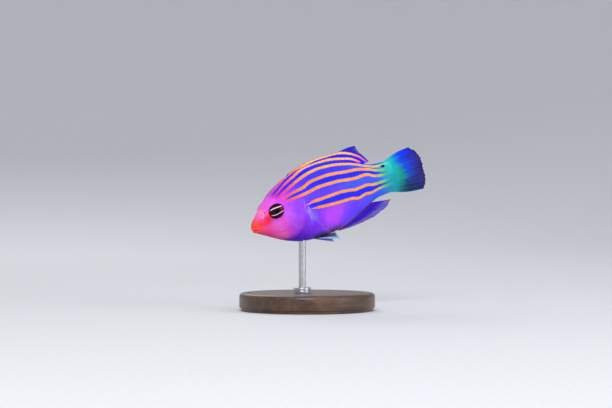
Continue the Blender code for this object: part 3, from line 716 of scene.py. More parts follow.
class EyeFinish(Finish):
    """Eyeball: black pupil, red iris with fibres, and the two white lines across it."""

    iris: tuple[Colour, Colour] = ((0.004, 0.0003, 0.002), (0.034, 0.001, 0.004))
    glow_colour: Colour = (0.50, 0.004, 0.004)
    line_widths: tuple[tuple[str, float], ...] = (("upper_gap", 0.062), ("lower_gap", 0.050))
    line_end: Step = (0.90, 0.98, 1.0, 0.0)
    line_dark: Colour = (0.004, 0.001, 0.012)
    line_pale: Colour = (0.86, 0.66, 0.97)
    marks: tuple[tuple[str, Step, Colour], ...] = (
        ("pupil", (0.98, 1.10, 0.6, 0.0), (0.16, 0.008, 0.012)),
        ("pupil", (0.92, 1.0, 1.0, 0.0), (0.0015, 0.001, 0.002)),
        ("ring", (0.86, 0.97, 0.0, 0.9), (0.03, 0.002, 0.012)),
    )

    def wire(self, wiring: Wiring, shader: object) -> None:
        """Iris, lines, pupil and dark limbus, from the eye's own fields."""
        axes = dict(enumerate(wiring.field(label) for label in ("spoke_x", "spoke_y", "ring")))
        fibres = wiring.noise(9.0, 4.0, wiring.add("ShaderNodeCombineXYZ", axes).outputs[0])
        glow = wiring.times(wiring.field("glow"), wiring.span(fibres, 0.25, 0.65, 0.45, 1.0))
        colour = wiring.mix(wiring.span(fibres, 0.3, 0.7), *self.iris)
        colour = wiring.mix(glow, colour, self.glow_colour)
        shown = wiring.span(wiring.field("ring"), *self.line_end)
        for label, width in self.line_widths:
            gap = wiring.math("ABSOLUTE", wiring.field(label))
            colour = wiring.layers(
                colour,
                (wiring.times(wiring.span(gap, width, 2.0 * width, 0.80, 0.0), shown), self.line_dark),
                (wiring.times(wiring.span(gap, 0.55 * width, 1.1 * width, 1.0, 0.0), shown), self.line_pale),
            )
        marks = ((wiring.span(wiring.field(label), *step), tint) for label, step, tint in self.marks)
        wiring.feed(shader["Base Color"], wiring.layers(colour, *marks))
        wiring.feed(shader["Normal"], wiring.relief(fibres, 0.012))


class WoodFinish(Finish):
    """Dark stained wood with a satin varnish: long grain bands and fine pores."""

    stains: Points = ((0.25, 0.020, 0.009, 0.005), (0.48, 0.075, 0.032, 0.014), (0.72, 0.150, 0.068, 0.030))
    pore_colour: Colour = (0.012, 0.006, 0.004)

    def wire(self, wiring: Wiring, shader: object) -> None:
        """Stretch noise along X for the bands, and stretch it further for the pores."""
        band = wiring.stretched((26.0, 330.0, 330.0), 5.0)
        pore = wiring.stretched((240.0, 5200.0, 5200.0), 2.0)
        pores = wiring.span(pore, 0.30, 0.48, 0.75, 0.0)
        wiring.feed(shader["Base Color"], wiring.mix(pores, wiring.ramp(band, self.stains), self.pore_colour))
        wiring.feed(shader["Roughness"], wiring.span(band, 0.3, 0.7, 0.34, 0.48))
        wiring.feed(shader["Normal"], wiring.relief(wiring.span(pore, 0.30, 0.48), 0.025))


class SteelFinish(Finish):
    """Brushed steel, its fine scratches running round the turned pieces."""

    tones: tuple[Colour, Colour] = ((0.50, 0.50, 0.52), (0.60, 0.60, 0.62))

    def wire(self, wiring: Wiring, shader: object) -> None:
        """Stretch noise flat for the scratches, and dull the surface in soft clouds."""
        scratch = wiring.stretched((60.0, 60.0, 9000.0), 3.0)
        cloud = SPECKLE.put(wiring, Clouds_per_metre=420.0)["Clouds"]
        wiring.feed(shader["Base Color"], wiring.mix(wiring.span(scratch, 0.3, 0.7), *self.tones))
        wiring.feed(shader["Roughness"], wiring.span(cloud, 0.3, 0.7, 0.24, 0.32))
        wiring.feed(shader["Normal"], wiring.relief(scratch, 0.0015))


class PaperFinish(Finish):
    """Pale matt paper of the floor and backdrop."""

    tones: tuple[Colour, Colour] = ((0.70, 0.71, 0.73), (0.74, 0.75, 0.77))

    def wire(self, wiring: Wiring, shader: object) -> None:
        """A faint tooth."""
        tooth = wiring.span(wiring.noise(900.0, 3.0), 0.3, 0.7)
        wiring.feed(shader["Base Color"], wiring.mix(tooth, *self.tones))


@dataclass
class Body:
    """The wrasse's body: for each x a section of two half superellipses, bent and tipped whole."""

    length: float = 0.061
    pitch: float = math.radians(17.4)
    tail_bend: float = math.radians(8.0)
    bend_start: float = 0.55
    snout: tuple[float, float, float] = (-0.0240, 0.0, 0.0280)
    end: float = 1.06
    crowding: float = 1.7
    stations: int = 500
    steps_round: int = 240
    back: Points = (
        (0.0, 0.0), (0.012, 0.024), (0.04, 0.046), (0.075, 0.068), (0.11, 0.090), (0.15, 0.121),
        (0.20, 0.152), (0.26, 0.180), (0.33, 0.199), (0.42, 0.207), (0.52, 0.203), (0.62, 0.192),
        (0.72, 0.168), (0.80, 0.138), (0.87, 0.105), (0.93, 0.085), (1.0, 0.080), (1.06, 0.080),
    )
    belly: Points = (
        (0.0, 0.0), (0.012, -0.027), (0.04, -0.045), (0.075, -0.064), (0.11, -0.084), (0.15, -0.107),
        (0.20, -0.133), (0.27, -0.161), (0.35, -0.182), (0.44, -0.193), (0.54, -0.197), (0.64, -0.188),
        (0.73, -0.167), (0.80, -0.143), (0.87, -0.118), (0.93, -0.106), (1.0, -0.105), (1.06, -0.105),
    )
    half_width: Points = (
        (0.0, 0.0), (0.012, 0.014), (0.04, 0.026), (0.075, 0.040), (0.11, 0.052), (0.15, 0.061),
        (0.20, 0.071), (0.27, 0.083), (0.34, 0.091), (0.42, 0.092), (0.52, 0.087), (0.62, 0.077),
        (0.72, 0.063), (0.80, 0.050), (0.87, 0.038), (0.93, 0.028), (1.0, 0.017), (1.06, 0.0020),
    )
    widest_level: Points = (
        (0.0, 0.0), (0.06, 0.006), (0.15, 0.020), (0.30, 0.020), (0.55, 0.008), (1.0, 0.0),
    )
    upper_squareness: Points = ((0.0, 2.2), (0.10, 3.0), (0.15, 3.0), (0.28, 2.0), (0.45, 1.85), (1.0, 1.95))
    lower_squareness: Points = ((0.0, 2.2), (0.20, 2.2), (0.45, 2.1), (1.0, 2.0))

    def outline(self, table: Points, x: Array) -> Array:
        """A body outline at x, rounded off at the snout by working in the root of x."""
        points = [(math.sqrt(place), height) for place, height in table]
        return smooth_curve(points, np.sqrt(np.clip(x, 0.0, None)))

    def section(self, x: Array, angle: Array) -> tuple[Array, Array]:
        """Side and height of the skin: each half is |y/a|^n + |z/b|^n = 1 about the widest level.

        Args:
            x: Places along the body.
            angle: Angles round it, 90 degrees on the back and 180 on the left flank.

        Returns:
            The sideways place and the height, in shares.
        """
        rise, spread = np.sin(angle), np.cos(angle)
        upper = rise >= 0.0
        level = smooth_curve(self.widest_level, x)
        upper_square, lower_square = (
            smooth_curve(table, x) for table in (self.upper_squareness, self.lower_squareness)
        )
        power = 2.0 / np.where(upper, upper_square, lower_square)
        reach = np.where(upper, self.outline(self.back, x) - level, level - self.outline(self.belly, x))
        side = self.outline(self.half_width, x) * np.sign(spread) * np.abs(spread) ** power
        return side, level + reach * np.sign(rise) * np.abs(rise) ** power

    def flank(self, x: float, z: float) -> float:
        """Half width of the body at x and the height z."""
        level = float(smooth_curve(self.widest_level, x))
        upper = z >= level
        table = self.back if upper else self.belly
        power = float(smooth_curve(self.upper_squareness if upper else self.lower_squareness, x))
        share = min(abs(z - level) / abs(float(self.outline(table, x)) - level), 1.0)
        return float(self.outline(self.half_width, x)) * (1.0 - share**power) ** (1.0 / power)

    @cached_property
    def halves(self) -> tuple[Array, Array]:
        """Left half sections evenly spaced round the skin, and half the girth of each.

        The length along each section is summed over fine chords, and its side, height and sine
        of the angle are read again at equal shares of that length.
        """
        x = self.end * np.linspace(0.0, 1.0, self.stations + 1) ** self.crowding
        angle = np.linspace(0.5 * math.pi, 1.5 * math.pi, 721)
        side, height = self.section(x[:, None], angle[None, :])
        chords = np.hypot(np.diff(side, axis=1), np.diff(height, axis=1))
        run = np.concatenate((np.zeros((len(x), 1)), np.cumsum(chords, axis=1)), axis=1)
        run[0] = np.linspace(0.0, 1e-9, run.shape[1])
        even = np.linspace(0.0, 1.0, self.steps_round + 1)
        rise = np.sin(angle)
        rows = [
            np.stack([np.interp(even * way[-1], way, values) for values in (y, z, rise)], axis=-1)
            for way, y, z in zip(run, side, height)
        ]
        return np.array(rows), run[:, -1]

    def station(self, x: Array) -> Array:
        """Number of the half section at x, with its fraction."""
        share = (np.clip(x, 0.0, self.end) / self.end) ** (1.0 / self.crowding)
        return np.clip(share * self.stations, 0.0, self.stations - 1e-6)

    def lookup(self, x: Array, w: Array) -> Array:
        """Side, height and sine of the angle on the left half, between the nearest four entries.

        Args:
            x: Places along the body.
            w: Shares of the way from the back to the belly.

        Returns:
            The three values, each for every place.
        """
        along = self.station(x)
        across = np.clip(np.clip(w, 0.0, 1.0) * self.steps_round, 0.0, self.steps_round - 1e-6)
        i, j = along.astype(int), across.astype(int)
        a, b = (along - i)[..., None], (across - j)[..., None]
        table = self.halves[0]
        found = (
            table[i, j] * (1.0 - a) * (1.0 - b) + table[i + 1, j] * a * (1.0 - b)
            + table[i, j + 1] * (1.0 - a) * b + table[i + 1, j + 1] * a * b
        )
        return np.moveaxis(found, -1, 0)

    def half_girth(self, x: Array) -> Array:
        """Length of the skin from back to belly at x, as a share of the standard length."""
        return np.interp(self.station(x), np.arange(self.stations + 1), self.halves[1])

    def bend(self, x: Array) -> Array:
        """Sideways place of the body's middle: a parabola from the bend's start, then straight."""
        reach = 1.0 - self.bend_start
        rate = math.tan(self.tail_bend) / (2.0 * reach)
        past = np.clip(x - self.bend_start, 0.0, None)
        inner = np.minimum(past, reach)
        return -rate * inner**2 - 2.0 * rate * reach * (past - inner)

    def to_world(self, points: Array) -> Array:
        """Points in shares, bent with the body, scaled, tipped and set over the stand."""
        points = np.array(points, float)
        points[..., 1] += self.bend(points[..., 0])
        return self.turn(points * self.length) + np.array(self.snout)

    def turn(self, vectors: Array) -> Array:
        """Vectors of the fish's frame, turned into the row frame."""
        c, s = math.cos(self.pitch), math.sin(self.pitch)
        x, y, z = np.moveaxis(np.asarray(vectors, float), -1, 0)
        return np.stack((x * c - z * s, y, x * s + z * c), axis=-1)

    def on_skin(self, x: Array, w: Array, side: float) -> Array:
        """Points of the bare skin in the row frame."""
        y, z, _ = self.lookup(x, w)
        return self.to_world(np.stack((x, -side * y, z), axis=-1))

    def outward(self, x: Array, w: Array, side: float) -> Array:
        """Unit vectors out of the skin: the cross product of its two tangents."""
        step_x, step_w = 0.004, 0.012
        along = self.on_skin(x + step_x, w, side) - self.on_skin(x - step_x, w, side)
        low, high = np.clip(w - step_w, 0.0, 1.0), np.clip(w + step_w, 0.0, 1.0)
        return unit(side * np.cross(along, self.on_skin(x, high, side) - self.on_skin(x, low, side)))


@dataclass
class EyeSeat:
    """Where an eye sits: an ellipsoid whose middle lies just under the skin."""

    body: Body
    side: Side
    place: tuple[float, float] = (0.150, 0.052)
    half_sizes: tuple[float, float, float] = (0.046, 0.041, 0.026)
    depth: float = 0.009
    step: float = 0.01

    def spot(self, x: float, z: float) -> Array:
        """Point of the eye's flank at x and z, in shares, on the unbent body."""
        return np.array((x, self.side.value * self.body.flank(x, z), z))

    @cached_property
    def frame(self) -> tuple[Array, Array]:
        """The eye's middle, and its along, up and outward axes, in the row frame."""
        x, z = self.place
        surface = self.spot(x, z)
        along = unit(self.spot(x + self.step, z) - surface)
        outward = unit(np.cross(along, self.spot(x, z + self.step) - surface))
        if outward[1] * self.side.value < 0.0:
            outward = -outward
        axes = np.stack((along, np.cross(outward, along), outward))
        middle = (surface - outward * self.depth) * self.body.length
        return self.body.turn(middle) + np.array(self.body.snout), self.body.turn(axes)

    @property
    def radii(self) -> Array:
        """Half sizes in metres."""
        return np.array(self.half_sizes) * self.body.length

    def local(self, points: Array) -> Array:
        """Points of the row frame in the eye's own axes, in units of its half sizes."""
        middle, axes = self.frame
        return (points - middle) @ axes.T / self.radii


@dataclass(frozen=True)
class Zone:
    """A patch of ground colour: its middle, its reach and its colour."""

    x: float
    z: float
    reach_x: float
    reach_z: float
    colour: Colour


def zone_colour(zones: tuple[Zone, ...], x: Array, z: Array) -> Array:
    """Ground colour as the mean of the zones' colours, each weighed by its nearness.

    The weight is one over the square of one plus the square of the distance in reaches.

    Args:
        zones: The zones.
        x: Places along the body.
        z: Heights.

    Returns:
        A colour at each place.
    """
    total, weights = np.zeros((*np.shape(x), 3)), np.zeros((*np.shape(x), 1))
    for zone in zones:
        away = ((x - zone.x) / zone.reach_x) ** 2 + ((z - zone.z) / zone.reach_z) ** 2
        weight = (1.0 + away)[..., None] ** -2.0
        total += weight * np.array(zone.colour)
        weights += weight
    return total / weights


@dataclass
class Markings:
    """The fish's marks: ground colours by zone, and lines that run from head to tail.

    Each line is given as x and w. A smear is a path in x and z, its reach and its colour.
    """

    body: Body
    lines: tuple[Points, ...] = (
        ((0.19, 0.035), (0.23, 0.034), (0.29, 0.011), (0.33, 0.0), (0.45, -0.05), (1.0, -0.12)),
        (
            (0.19, 0.120), (0.26, 0.094), (0.33, 0.074), (0.39, 0.038), (0.475, 0.001), (0.56, -0.02),
            (1.0, -0.04),
        ),
        (
            (0.20, 0.186), (0.29, 0.162), (0.40, 0.122), (0.52, 0.092), (0.70, 0.090), (0.87, 0.086),
            (0.97, 0.110),
        ),
        (
            (0.21, 0.270), (0.27, 0.250), (0.33, 0.253), (0.43, 0.216), (0.55, 0.205), (0.68, 0.215),
            (0.81, 0.187), (0.87, 0.176), (0.94, 0.220), (1.0, 0.268),
        ),
        (
            (0.22, 0.310), (0.34, 0.327), (0.47, 0.308), (0.60, 0.314), (0.74, 0.337), (0.85, 0.300),
            (0.90, 0.352), (1.0, 0.393),
        ),
        (
            (0.34, 0.464), (0.40, 0.450), (0.56, 0.450), (0.68, 0.478), (0.73, 0.504), (0.83, 0.507),
            (0.87, 0.547), (1.0, 0.580),
        ),
        (
            (0.37, 0.524), (0.44, 0.540), (0.60, 0.574), (0.68, 0.599), (0.75, 0.654), (0.80, 0.655),
            (0.86, 0.710), (1.0, 0.715),
        ),
    )
    starts: tuple[float, ...] = (0.168, 0.165, 0.172, 0.205, 0.212, 0.335, 0.362)
    start_fade: tuple[float, float] = (-0.010, 0.020)
    end_fade: tuple[float, float] = (1.045, 0.975)
    point_length: float = 0.07
    point_narrowing: float = 1.4
    pointed_starts: tuple[float, float] = (0.26, 0.32)
    above: float = 0.08
    below: float = 0.10
    spot: Step = (0.985, 0.140, 0.018, 0.0088)
    smear_strength: float = 0.9
    # The keel is painted shade: the underside of the belly is darkened to near black from the pelvic fins'
    # roots back past their tips.
    keel_shade_strength: float = 0.92
    keel_shade_level: tuple[float, float] = (0.84, 0.90)
    keel_shade_ends: Step = (0.36, 0.41, 0.62, 0.55)
    keel_shade_colour: Colour = (0.035, 0.003, 0.040)
    # The crown is a painted highlight: a pale strip along the top of the head and nape, where the light from
    # above falls.
    crown_highlight_strength: float = 0.8
    crown_highlight_width: float = 0.010
    crown_highlight_ends: Step = (0.10, 0.16, 0.345, 0.32)
    crown_highlight_colour: Colour = (0.62, 0.24, 0.92)
    zones: tuple[Zone, ...] = (
        Zone(0.010, 0.004, 0.026, 0.026, (0.92, 0.055, 0.004)),
        Zone(0.034, 0.020, 0.020, 0.020, (0.95, 0.060, 0.006)),
        Zone(0.030, -0.030, 0.026, 0.016, (0.90, 0.060, 0.050)),
        Zone(0.085, -0.050, 0.036, 0.028, (0.80, 0.055, 0.200)),
        Zone(0.062, 0.062, 0.026, 0.022, (0.98, 0.150, 0.600)),
        Zone(0.080, 0.030, 0.020, 0.014, (0.64, 0.012, 0.280)),
        Zone(0.120, 0.108, 0.050, 0.036, (0.90, 0.120, 0.700)),
        Zone(0.190, 0.118, 0.040, 0.030, (0.66, 0.050, 0.700)),
        Zone(0.160, -0.030, 0.050, 0.040, (0.74, 0.085, 0.500)),
        Zone(0.205, 0.035, 0.030, 0.050, (0.56, 0.068, 0.860)),
        Zone(0.150, -0.095, 0.070, 0.026, (0.88, 0.075, 0.240)),
        Zone(0.235, 0.160, 0.050, 0.040, (0.40, 0.030, 0.620)),
        Zone(0.275, 0.030, 0.040, 0.060, (0.34, 0.045, 0.820)),
        Zone(0.270, -0.060, 0.040, 0.030, (0.26, 0.025, 0.660)),
        Zone(0.265, -0.125, 0.070, 0.040, (0.085, 0.010, 0.620)),
        Zone(0.395, -0.100, 0.060, 0.050, (0.150, 0.012, 0.920)),
        Zone(0.480, 0.130, 0.200, 0.080, (0.040, 0.034, 0.880)),
        Zone(0.430, 0.020, 0.120, 0.050, (0.130, 0.030, 0.940)),
        Zone(0.760, 0.010, 0.150, 0.060, (0.048, 0.095, 0.960)),
        Zone(0.512, -0.092, 0.100, 0.060, (0.640, 0.075, 0.960)),
        Zone(0.400, -0.176, 0.120, 0.030, (0.050, 0.006, 0.620)),
        Zone(0.660, -0.110, 0.090, 0.055, (0.120, 0.040, 0.960)),
        Zone(0.740, -0.160, 0.090, 0.030, (0.030, 0.020, 0.860)),
        Zone(0.900, 0.000, 0.060, 0.120, (0.030, 0.090, 0.900)),
        Zone(1.030, 0.045, 0.055, 0.050, (0.001, 0.620, 0.480)),
        Zone(1.030, -0.050, 0.050, 0.060, (0.001, 0.310, 0.310)),
    )
    smears: tuple[tuple[Points, float, Colour], ...] = (
        (((0.100, 0.050), (0.094, 0.040)), 0.010, (0.98, 0.060, 0.010)),
        (((0.095, 0.026), (0.099, 0.014), (0.080, 0.008)), 0.016, (0.76, 0.006, 0.010)),
        (((0.070, 0.006), (0.050, 0.006)), 0.013, (0.98, 0.030, 0.004)),
        (((0.200, 0.100), (0.212, 0.086)), 0.008, (0.92, 0.025, 0.400)),
        (((0.176, 0.117), (0.198, 0.122)), 0.008, (0.80, 0.015, 0.300)),
        (((0.084, 0.080), (0.072, 0.058), (0.066, 0.040)), 0.006, (0.98, 0.240, 0.320)),
        (((0.350, -0.030), (0.364, -0.062)), 0.022, (0.26, 0.090, 0.960)),
        (((0.362, -0.014), (0.385, -0.036), (0.392, -0.060)), 0.008, (0.13, 0.160, 0.980)),
        (((0.336, -0.004), (0.345, -0.022)), 0.008, (0.62, 0.280, 0.960)),
    )

    def fields(self, x: Array, w: Array, z: Array) -> Fields:
        """What the materials read: the phase is 1 on the first line, 2 on the second, and so on.

        Between two lines the phase runs evenly, so that its distance from a whole number, times
        the pitch of the lines there, is the distance from the nearest line in millimetres.

        Args:
            x: Places along the body.
            w: Shares of the way round.
            z: Heights.

        Returns:
            The fields by name.
        """
        count = len(self.lines)
        centres = np.stack([smooth_curve(line, x) for line in self.lines], axis=-1)
        spaces = np.diff(centres, axis=-1)
        shares = np.clip((w[..., None] - centres[..., :-1]) / spaces, 0.0, 1.0)
        phase = 1.0 + shares.sum(axis=-1)
        phase += np.minimum((w - centres[..., 0]) / self.above, 0.0)
        phase += np.maximum((w - centres[..., -1]) / self.below, 0.0)
        piece = np.clip(np.floor(phase).astype(int) - 1, 0, count - 2)
        pitch = np.take_along_axis(spaces, piece[..., None], axis=-1)[..., 0]
        pitch = np.where(phase < 1.0, self.above, np.where(phase > count, self.below, pitch))
        girth = self.body.half_girth(x)
        start = np.interp(phase, np.arange(1, count + 1), self.starts)
        pointed = ease(self.point_length, 0.0, x - start) * ease(*self.pointed_starts, start)
        spot_x, spot_w, spot_long, spot_tall = self.spot
        return {
            "phase": phase,
            "pitch": pitch * girth * self.body.length / MM * (1.0 + self.point_narrowing * pointed),
            "fade": ease(*self.start_fade, x - start) * ease(*self.end_fade, x),
            "along": np.clip(x, 0.0, 1.0),
            "spot": np.hypot((x - spot_x) / spot_long, (w - spot_w) * girth / spot_tall),
            "ground": self.ground(x, w, z),
        }

    def ground(self, x: Array, w: Array, z: Array) -> Array:
        """Colour under the lines: zones, then smears, then painted shade along the keel and a painted
        highlight along the crown.
        """
        colour = zone_colour(self.zones, x, z)
        for path, reach, tint in self.smears:
            colour = blend(colour, tint, self.smear_strength * hump(polyline_distance(x, z, path), reach))
        # Painted shade along the keel, where the belly's underside turns away from the light.
        ends = ease(*self.keel_shade_ends[:2], x) * ease(*self.keel_shade_ends[2:], x)
        colour = blend(colour, self.keel_shade_colour, self.keel_shade_strength * ease(*self.keel_shade_level, w) * ends)
        # Painted highlight along the crown.
        ends = ease(*self.crown_highlight_ends[:2], x) * ease(*self.crown_highlight_ends[2:], x)
        return blend(colour, self.crown_highlight_colour, self.crown_highlight_strength * hump(w, self.crown_highlight_width) * ends)


@dataclass
class SkinRelief:
    """The forms of the head's skin, each a hump or a dip with its height in millimetres, and the painted
    shade in its hollows.
    """

    mouth_tip: float = -0.015
    mouth_corner: tuple[float, float] = (0.029, -0.0225)
    mouth_fade: tuple[float, float] = (0.006, -0.010)
    lip_offset: float = 0.0080
    lip_width: float = 0.0056
    lip_height: float = 0.17
    slot_depth: float = 0.55
    slot_width: float = 0.0021
    fold: tuple[float, float, float] = (0.10, 2.15, 0.0045)
    nostrils: Points = ((0.068, 0.054, 0.0034), (0.086, 0.062, 0.0042))
    nostril_rim: tuple[float, float, float] = (0.07, 1.3, 0.45)
    nostril_pit: tuple[float, float, float] = (0.45, 1.15, 0.55)
    gill_edge: Points = (
        (-1.0, 0.226), (-0.75, 0.258), (-0.35, 0.311), (0.0, 0.327), (0.35, 0.333), (0.75, 0.316),
        (1.0, 0.292),
    )
    gill_ends: Step = (-0.985, -0.80, 0.78, 0.45)
    gill_flap: Step = (-0.075, -0.008, 0.0035, -0.0025)
    gill_gap: Step = (-0.0025, 0.0035, 0.035, 0.006)
    gill_lift: float = 0.24
    gill_drop: float = 0.12
    pale_level: float = 0.025
    inner_gill: Points = (
        (0.225, 0.065), (0.238, 0.02), (0.235, -0.03), (0.215, -0.065), (0.17, -0.078), (0.12, -0.067),
    )
    pore: tuple[float, float] = (0.07, 0.0024)
    pores: Points = (
        (0.105, 0.002), (0.125, -0.006), (0.150, -0.008), (0.175, -0.003), (0.198, 0.012),
        (0.210, 0.036), (0.244, 0.045), (0.246, 0.010), (0.243, -0.028), (0.224, -0.068),
        (0.190, -0.088), (0.150, -0.086), (0.112, -0.076), (0.085, 0.082), (0.118, 0.100),
    )
    fin_root: Points = ((0.344, 0.014), (0.349, -0.020), (0.354, -0.056))
    fin_root_height: float = 0.22

    def forms(self, x: Array, z: Array, rise: Array) -> Fields:
        """Height over the bare skin in millimetres, and the fields that colour its forms.

        Args:
            x: Places along the body.
            z: Heights.
            rise: Sine of the angle round the body.

        Returns:
            The height, the lips, the painted shade in the hollows, and the pale rims.
        """
        corner_x, corner_z = self.mouth_corner
        front = ease(*(corner_x + step for step in self.mouth_fade), x)
        away = np.abs(z - self.mouth_tip - (corner_z - self.mouth_tip) * x / corner_x)
        slot = hump(away, self.slot_width) * front
        lip = hump(away - self.lip_offset, self.lip_width) * front
        height = self.lip_height * lip - self.slot_depth * slot
        depth, place, width = self.fold
        height -= depth * hump(away - place * self.lip_offset, width) * front
        # Painted shade in the mouth slot and the nostril pits.
        hollow = slot.copy()
        for place_x, place_z, radius in self.nostrils:
            away = np.hypot(x - place_x, z - place_z) / radius
            rim, place, width = self.nostril_rim
            depth, outer, inner = self.nostril_pit
            pit = ease(outer, inner, away)
            height += rim * hump(away - place, width) - depth * pit
            hollow = np.maximum(hollow, 0.6 * pit)
        depth, width = self.pore
        for place_x, place_z in self.pores:
            height -= depth * hump(np.hypot(x - place_x, z - place_z), width)
        away = polyline_distance(x, z, self.inner_gill)
        height -= 0.05 * hump(away, 0.0060) - 0.04 * hump(away - 0.012, 0.008)
        past = x - smooth_curve(self.gill_edge, rise)
        shown, flap, behind = (
            ease(*steps[:2], value) * ease(*steps[2:], value)
            for steps, value in ((self.gill_ends, rise), (self.gill_flap, past), (self.gill_gap, past))
        )
        height += shown * (self.gill_lift * flap - self.gill_drop * behind)
        # Painted shade in the gap behind the gill cover's edge.
        hollow = np.maximum(hollow, 0.45 * shown * hump(past - 0.0045, 0.0035))
        root = hump(polyline_distance(x, z, self.fin_root), 0.010) * (x > 0.3)
        height += self.fin_root_height * root
        streak = hump(z - self.pale_level, 0.040) * hump(past + 0.005, 0.0045)
        pale = np.maximum(0.85 * shown * streak, 0.95 * root)
        return {"height": height, "lip": lip, "hollow": hollow, "pale_rim": pale}

    def seat(self, points: Array, eye: EyeSeat) -> tuple[Array, Array]:
        """Move of each point along the eye's outward axis, and the painted shade of the socket there.

        Within the rim the skin drops under the eyeball; round it the skin is raised to a third
        of the eyeball's height and falls away smoothly, with a stronger brow above.

        Args:
            points: Points of the skin in the row frame.
            eye: The eye.

        Returns:
            The moves as vectors, and the painted shade of the socket.
        """
        a, b, c = np.moveaxis(eye.local(points), -1, 0)
        ring = np.hypot(a, b)
        near = ease(-1.6, -0.9, c)
        rim = 0.34 + 0.10 * ease(0.1, 0.9, b)
        lift = np.clip(rim - c, 0.0, 1.2) * ease(1.42, 1.03, ring) * near
        fold = 0.09 * hump(ring - 1.06, 0.055) * near
        drop = ease(0.975, 0.865, ring) * near
        move = (lift + fold) * float(eye.radii[2]) * (1.0 - drop) - 1.5 * MM * drop
        wider = 1.0 + 0.13 * ease(0.1, -0.9, a)
        # Painted shade inside the socket's rim, reaching further toward the snout.
        return move[..., None] * eye.frame[1][2], near * ease(1.03, 0.93, ring / wider)


@dataclass
class Skin:
    """One skin over head, trunk and tail stem: a grid of rings, closed at the snout and tail."""

    body: Body
    relief: SkinRelief
    markings: Markings
    eyes: tuple[EyeSeat, ...]
    head_end: float = 0.36
    head_stations: int = 300
    rear_stations: int = 100
    steps: int = 120
    head_crowding: float = 1.6
    bed_depth: float = 0.06
    map_margin: float = 0.01
    finish: Finish = SkinFinish("wet_head_skin", coat=0.06, coat_roughness=0.22, specular=0.12)

    def build(self, scale_front: Points) -> Piece:
        """Build the skin, sunk a little where the scales lie on it.

        Args:
            scale_front: Where the scales start, as w and x.

        Returns:
            The skin, standing for the nodes of flesh.
        """
        share = np.arange(1, self.head_stations + 1) / self.head_stations
        rear = np.linspace(self.head_end, self.body.end, self.rear_stations + 1)[1:]
        x = np.concatenate((self.head_end * share**self.head_crowding, rear))[:, None]
        half = np.arange(self.steps) / self.steps
        w = np.concatenate((half, 1.0 - half))[None, :]
        left = np.repeat((-1.0, 1.0), self.steps)[None, :]
        x, w = np.broadcast_arrays(x, w)
        y, z, rise = self.body.lookup(x, w)
        base = self.body.to_world(np.stack((x, -left * y, z), axis=-1))
        forms = self.relief.forms(x, z, rise)
        bed = ease(0.0, 0.02, x - smooth_curve(scale_front, w))
        height = forms.pop("height") - self.bed_depth * bed
        points = base + self.normals(base) * (height * MM)[..., None]
        for eye in self.eyes:
            move, dark = self.relief.seat(points, eye)
            points = points + move
            # The socket's painted shade joins the shade of the other hollows.
            forms["hollow"] = np.maximum(forms["hollow"], dark)
        poles = self.body.to_world(np.array(((0.0, 0.0, 0.0), (self.body.end + 0.002, 0.0, -0.012))))
        fields = {
            label: np.concatenate((values.reshape(x.size, *values.shape[2:]), values[:1, 0], values[-1:, 0]))
            for label, values in {**self.markings.fields(x, w, z), **forms}.items()
        }
        return make_piece(
            "body_skin", np.concatenate((points.reshape(-1, 3), poles)),
            capped_grid(*x.shape, self.map_margin), self.finish, "flank_skin",
            ("head", "torso", "tail_stem"), fields,
        )

    def normals(self, base: Array) -> Array:
        """Outward unit vectors: the cross product of the grid's differences along and round."""
        around = np.roll(base, -1, axis=1) - np.roll(base, 1, axis=1)
        across = unit(np.cross(np.gradient(base, axis=0), around))
        outward = np.einsum("ijk,ijk->", across, base - base.mean(axis=1, keepdims=True))
        return across if outward > 0.0 else -across


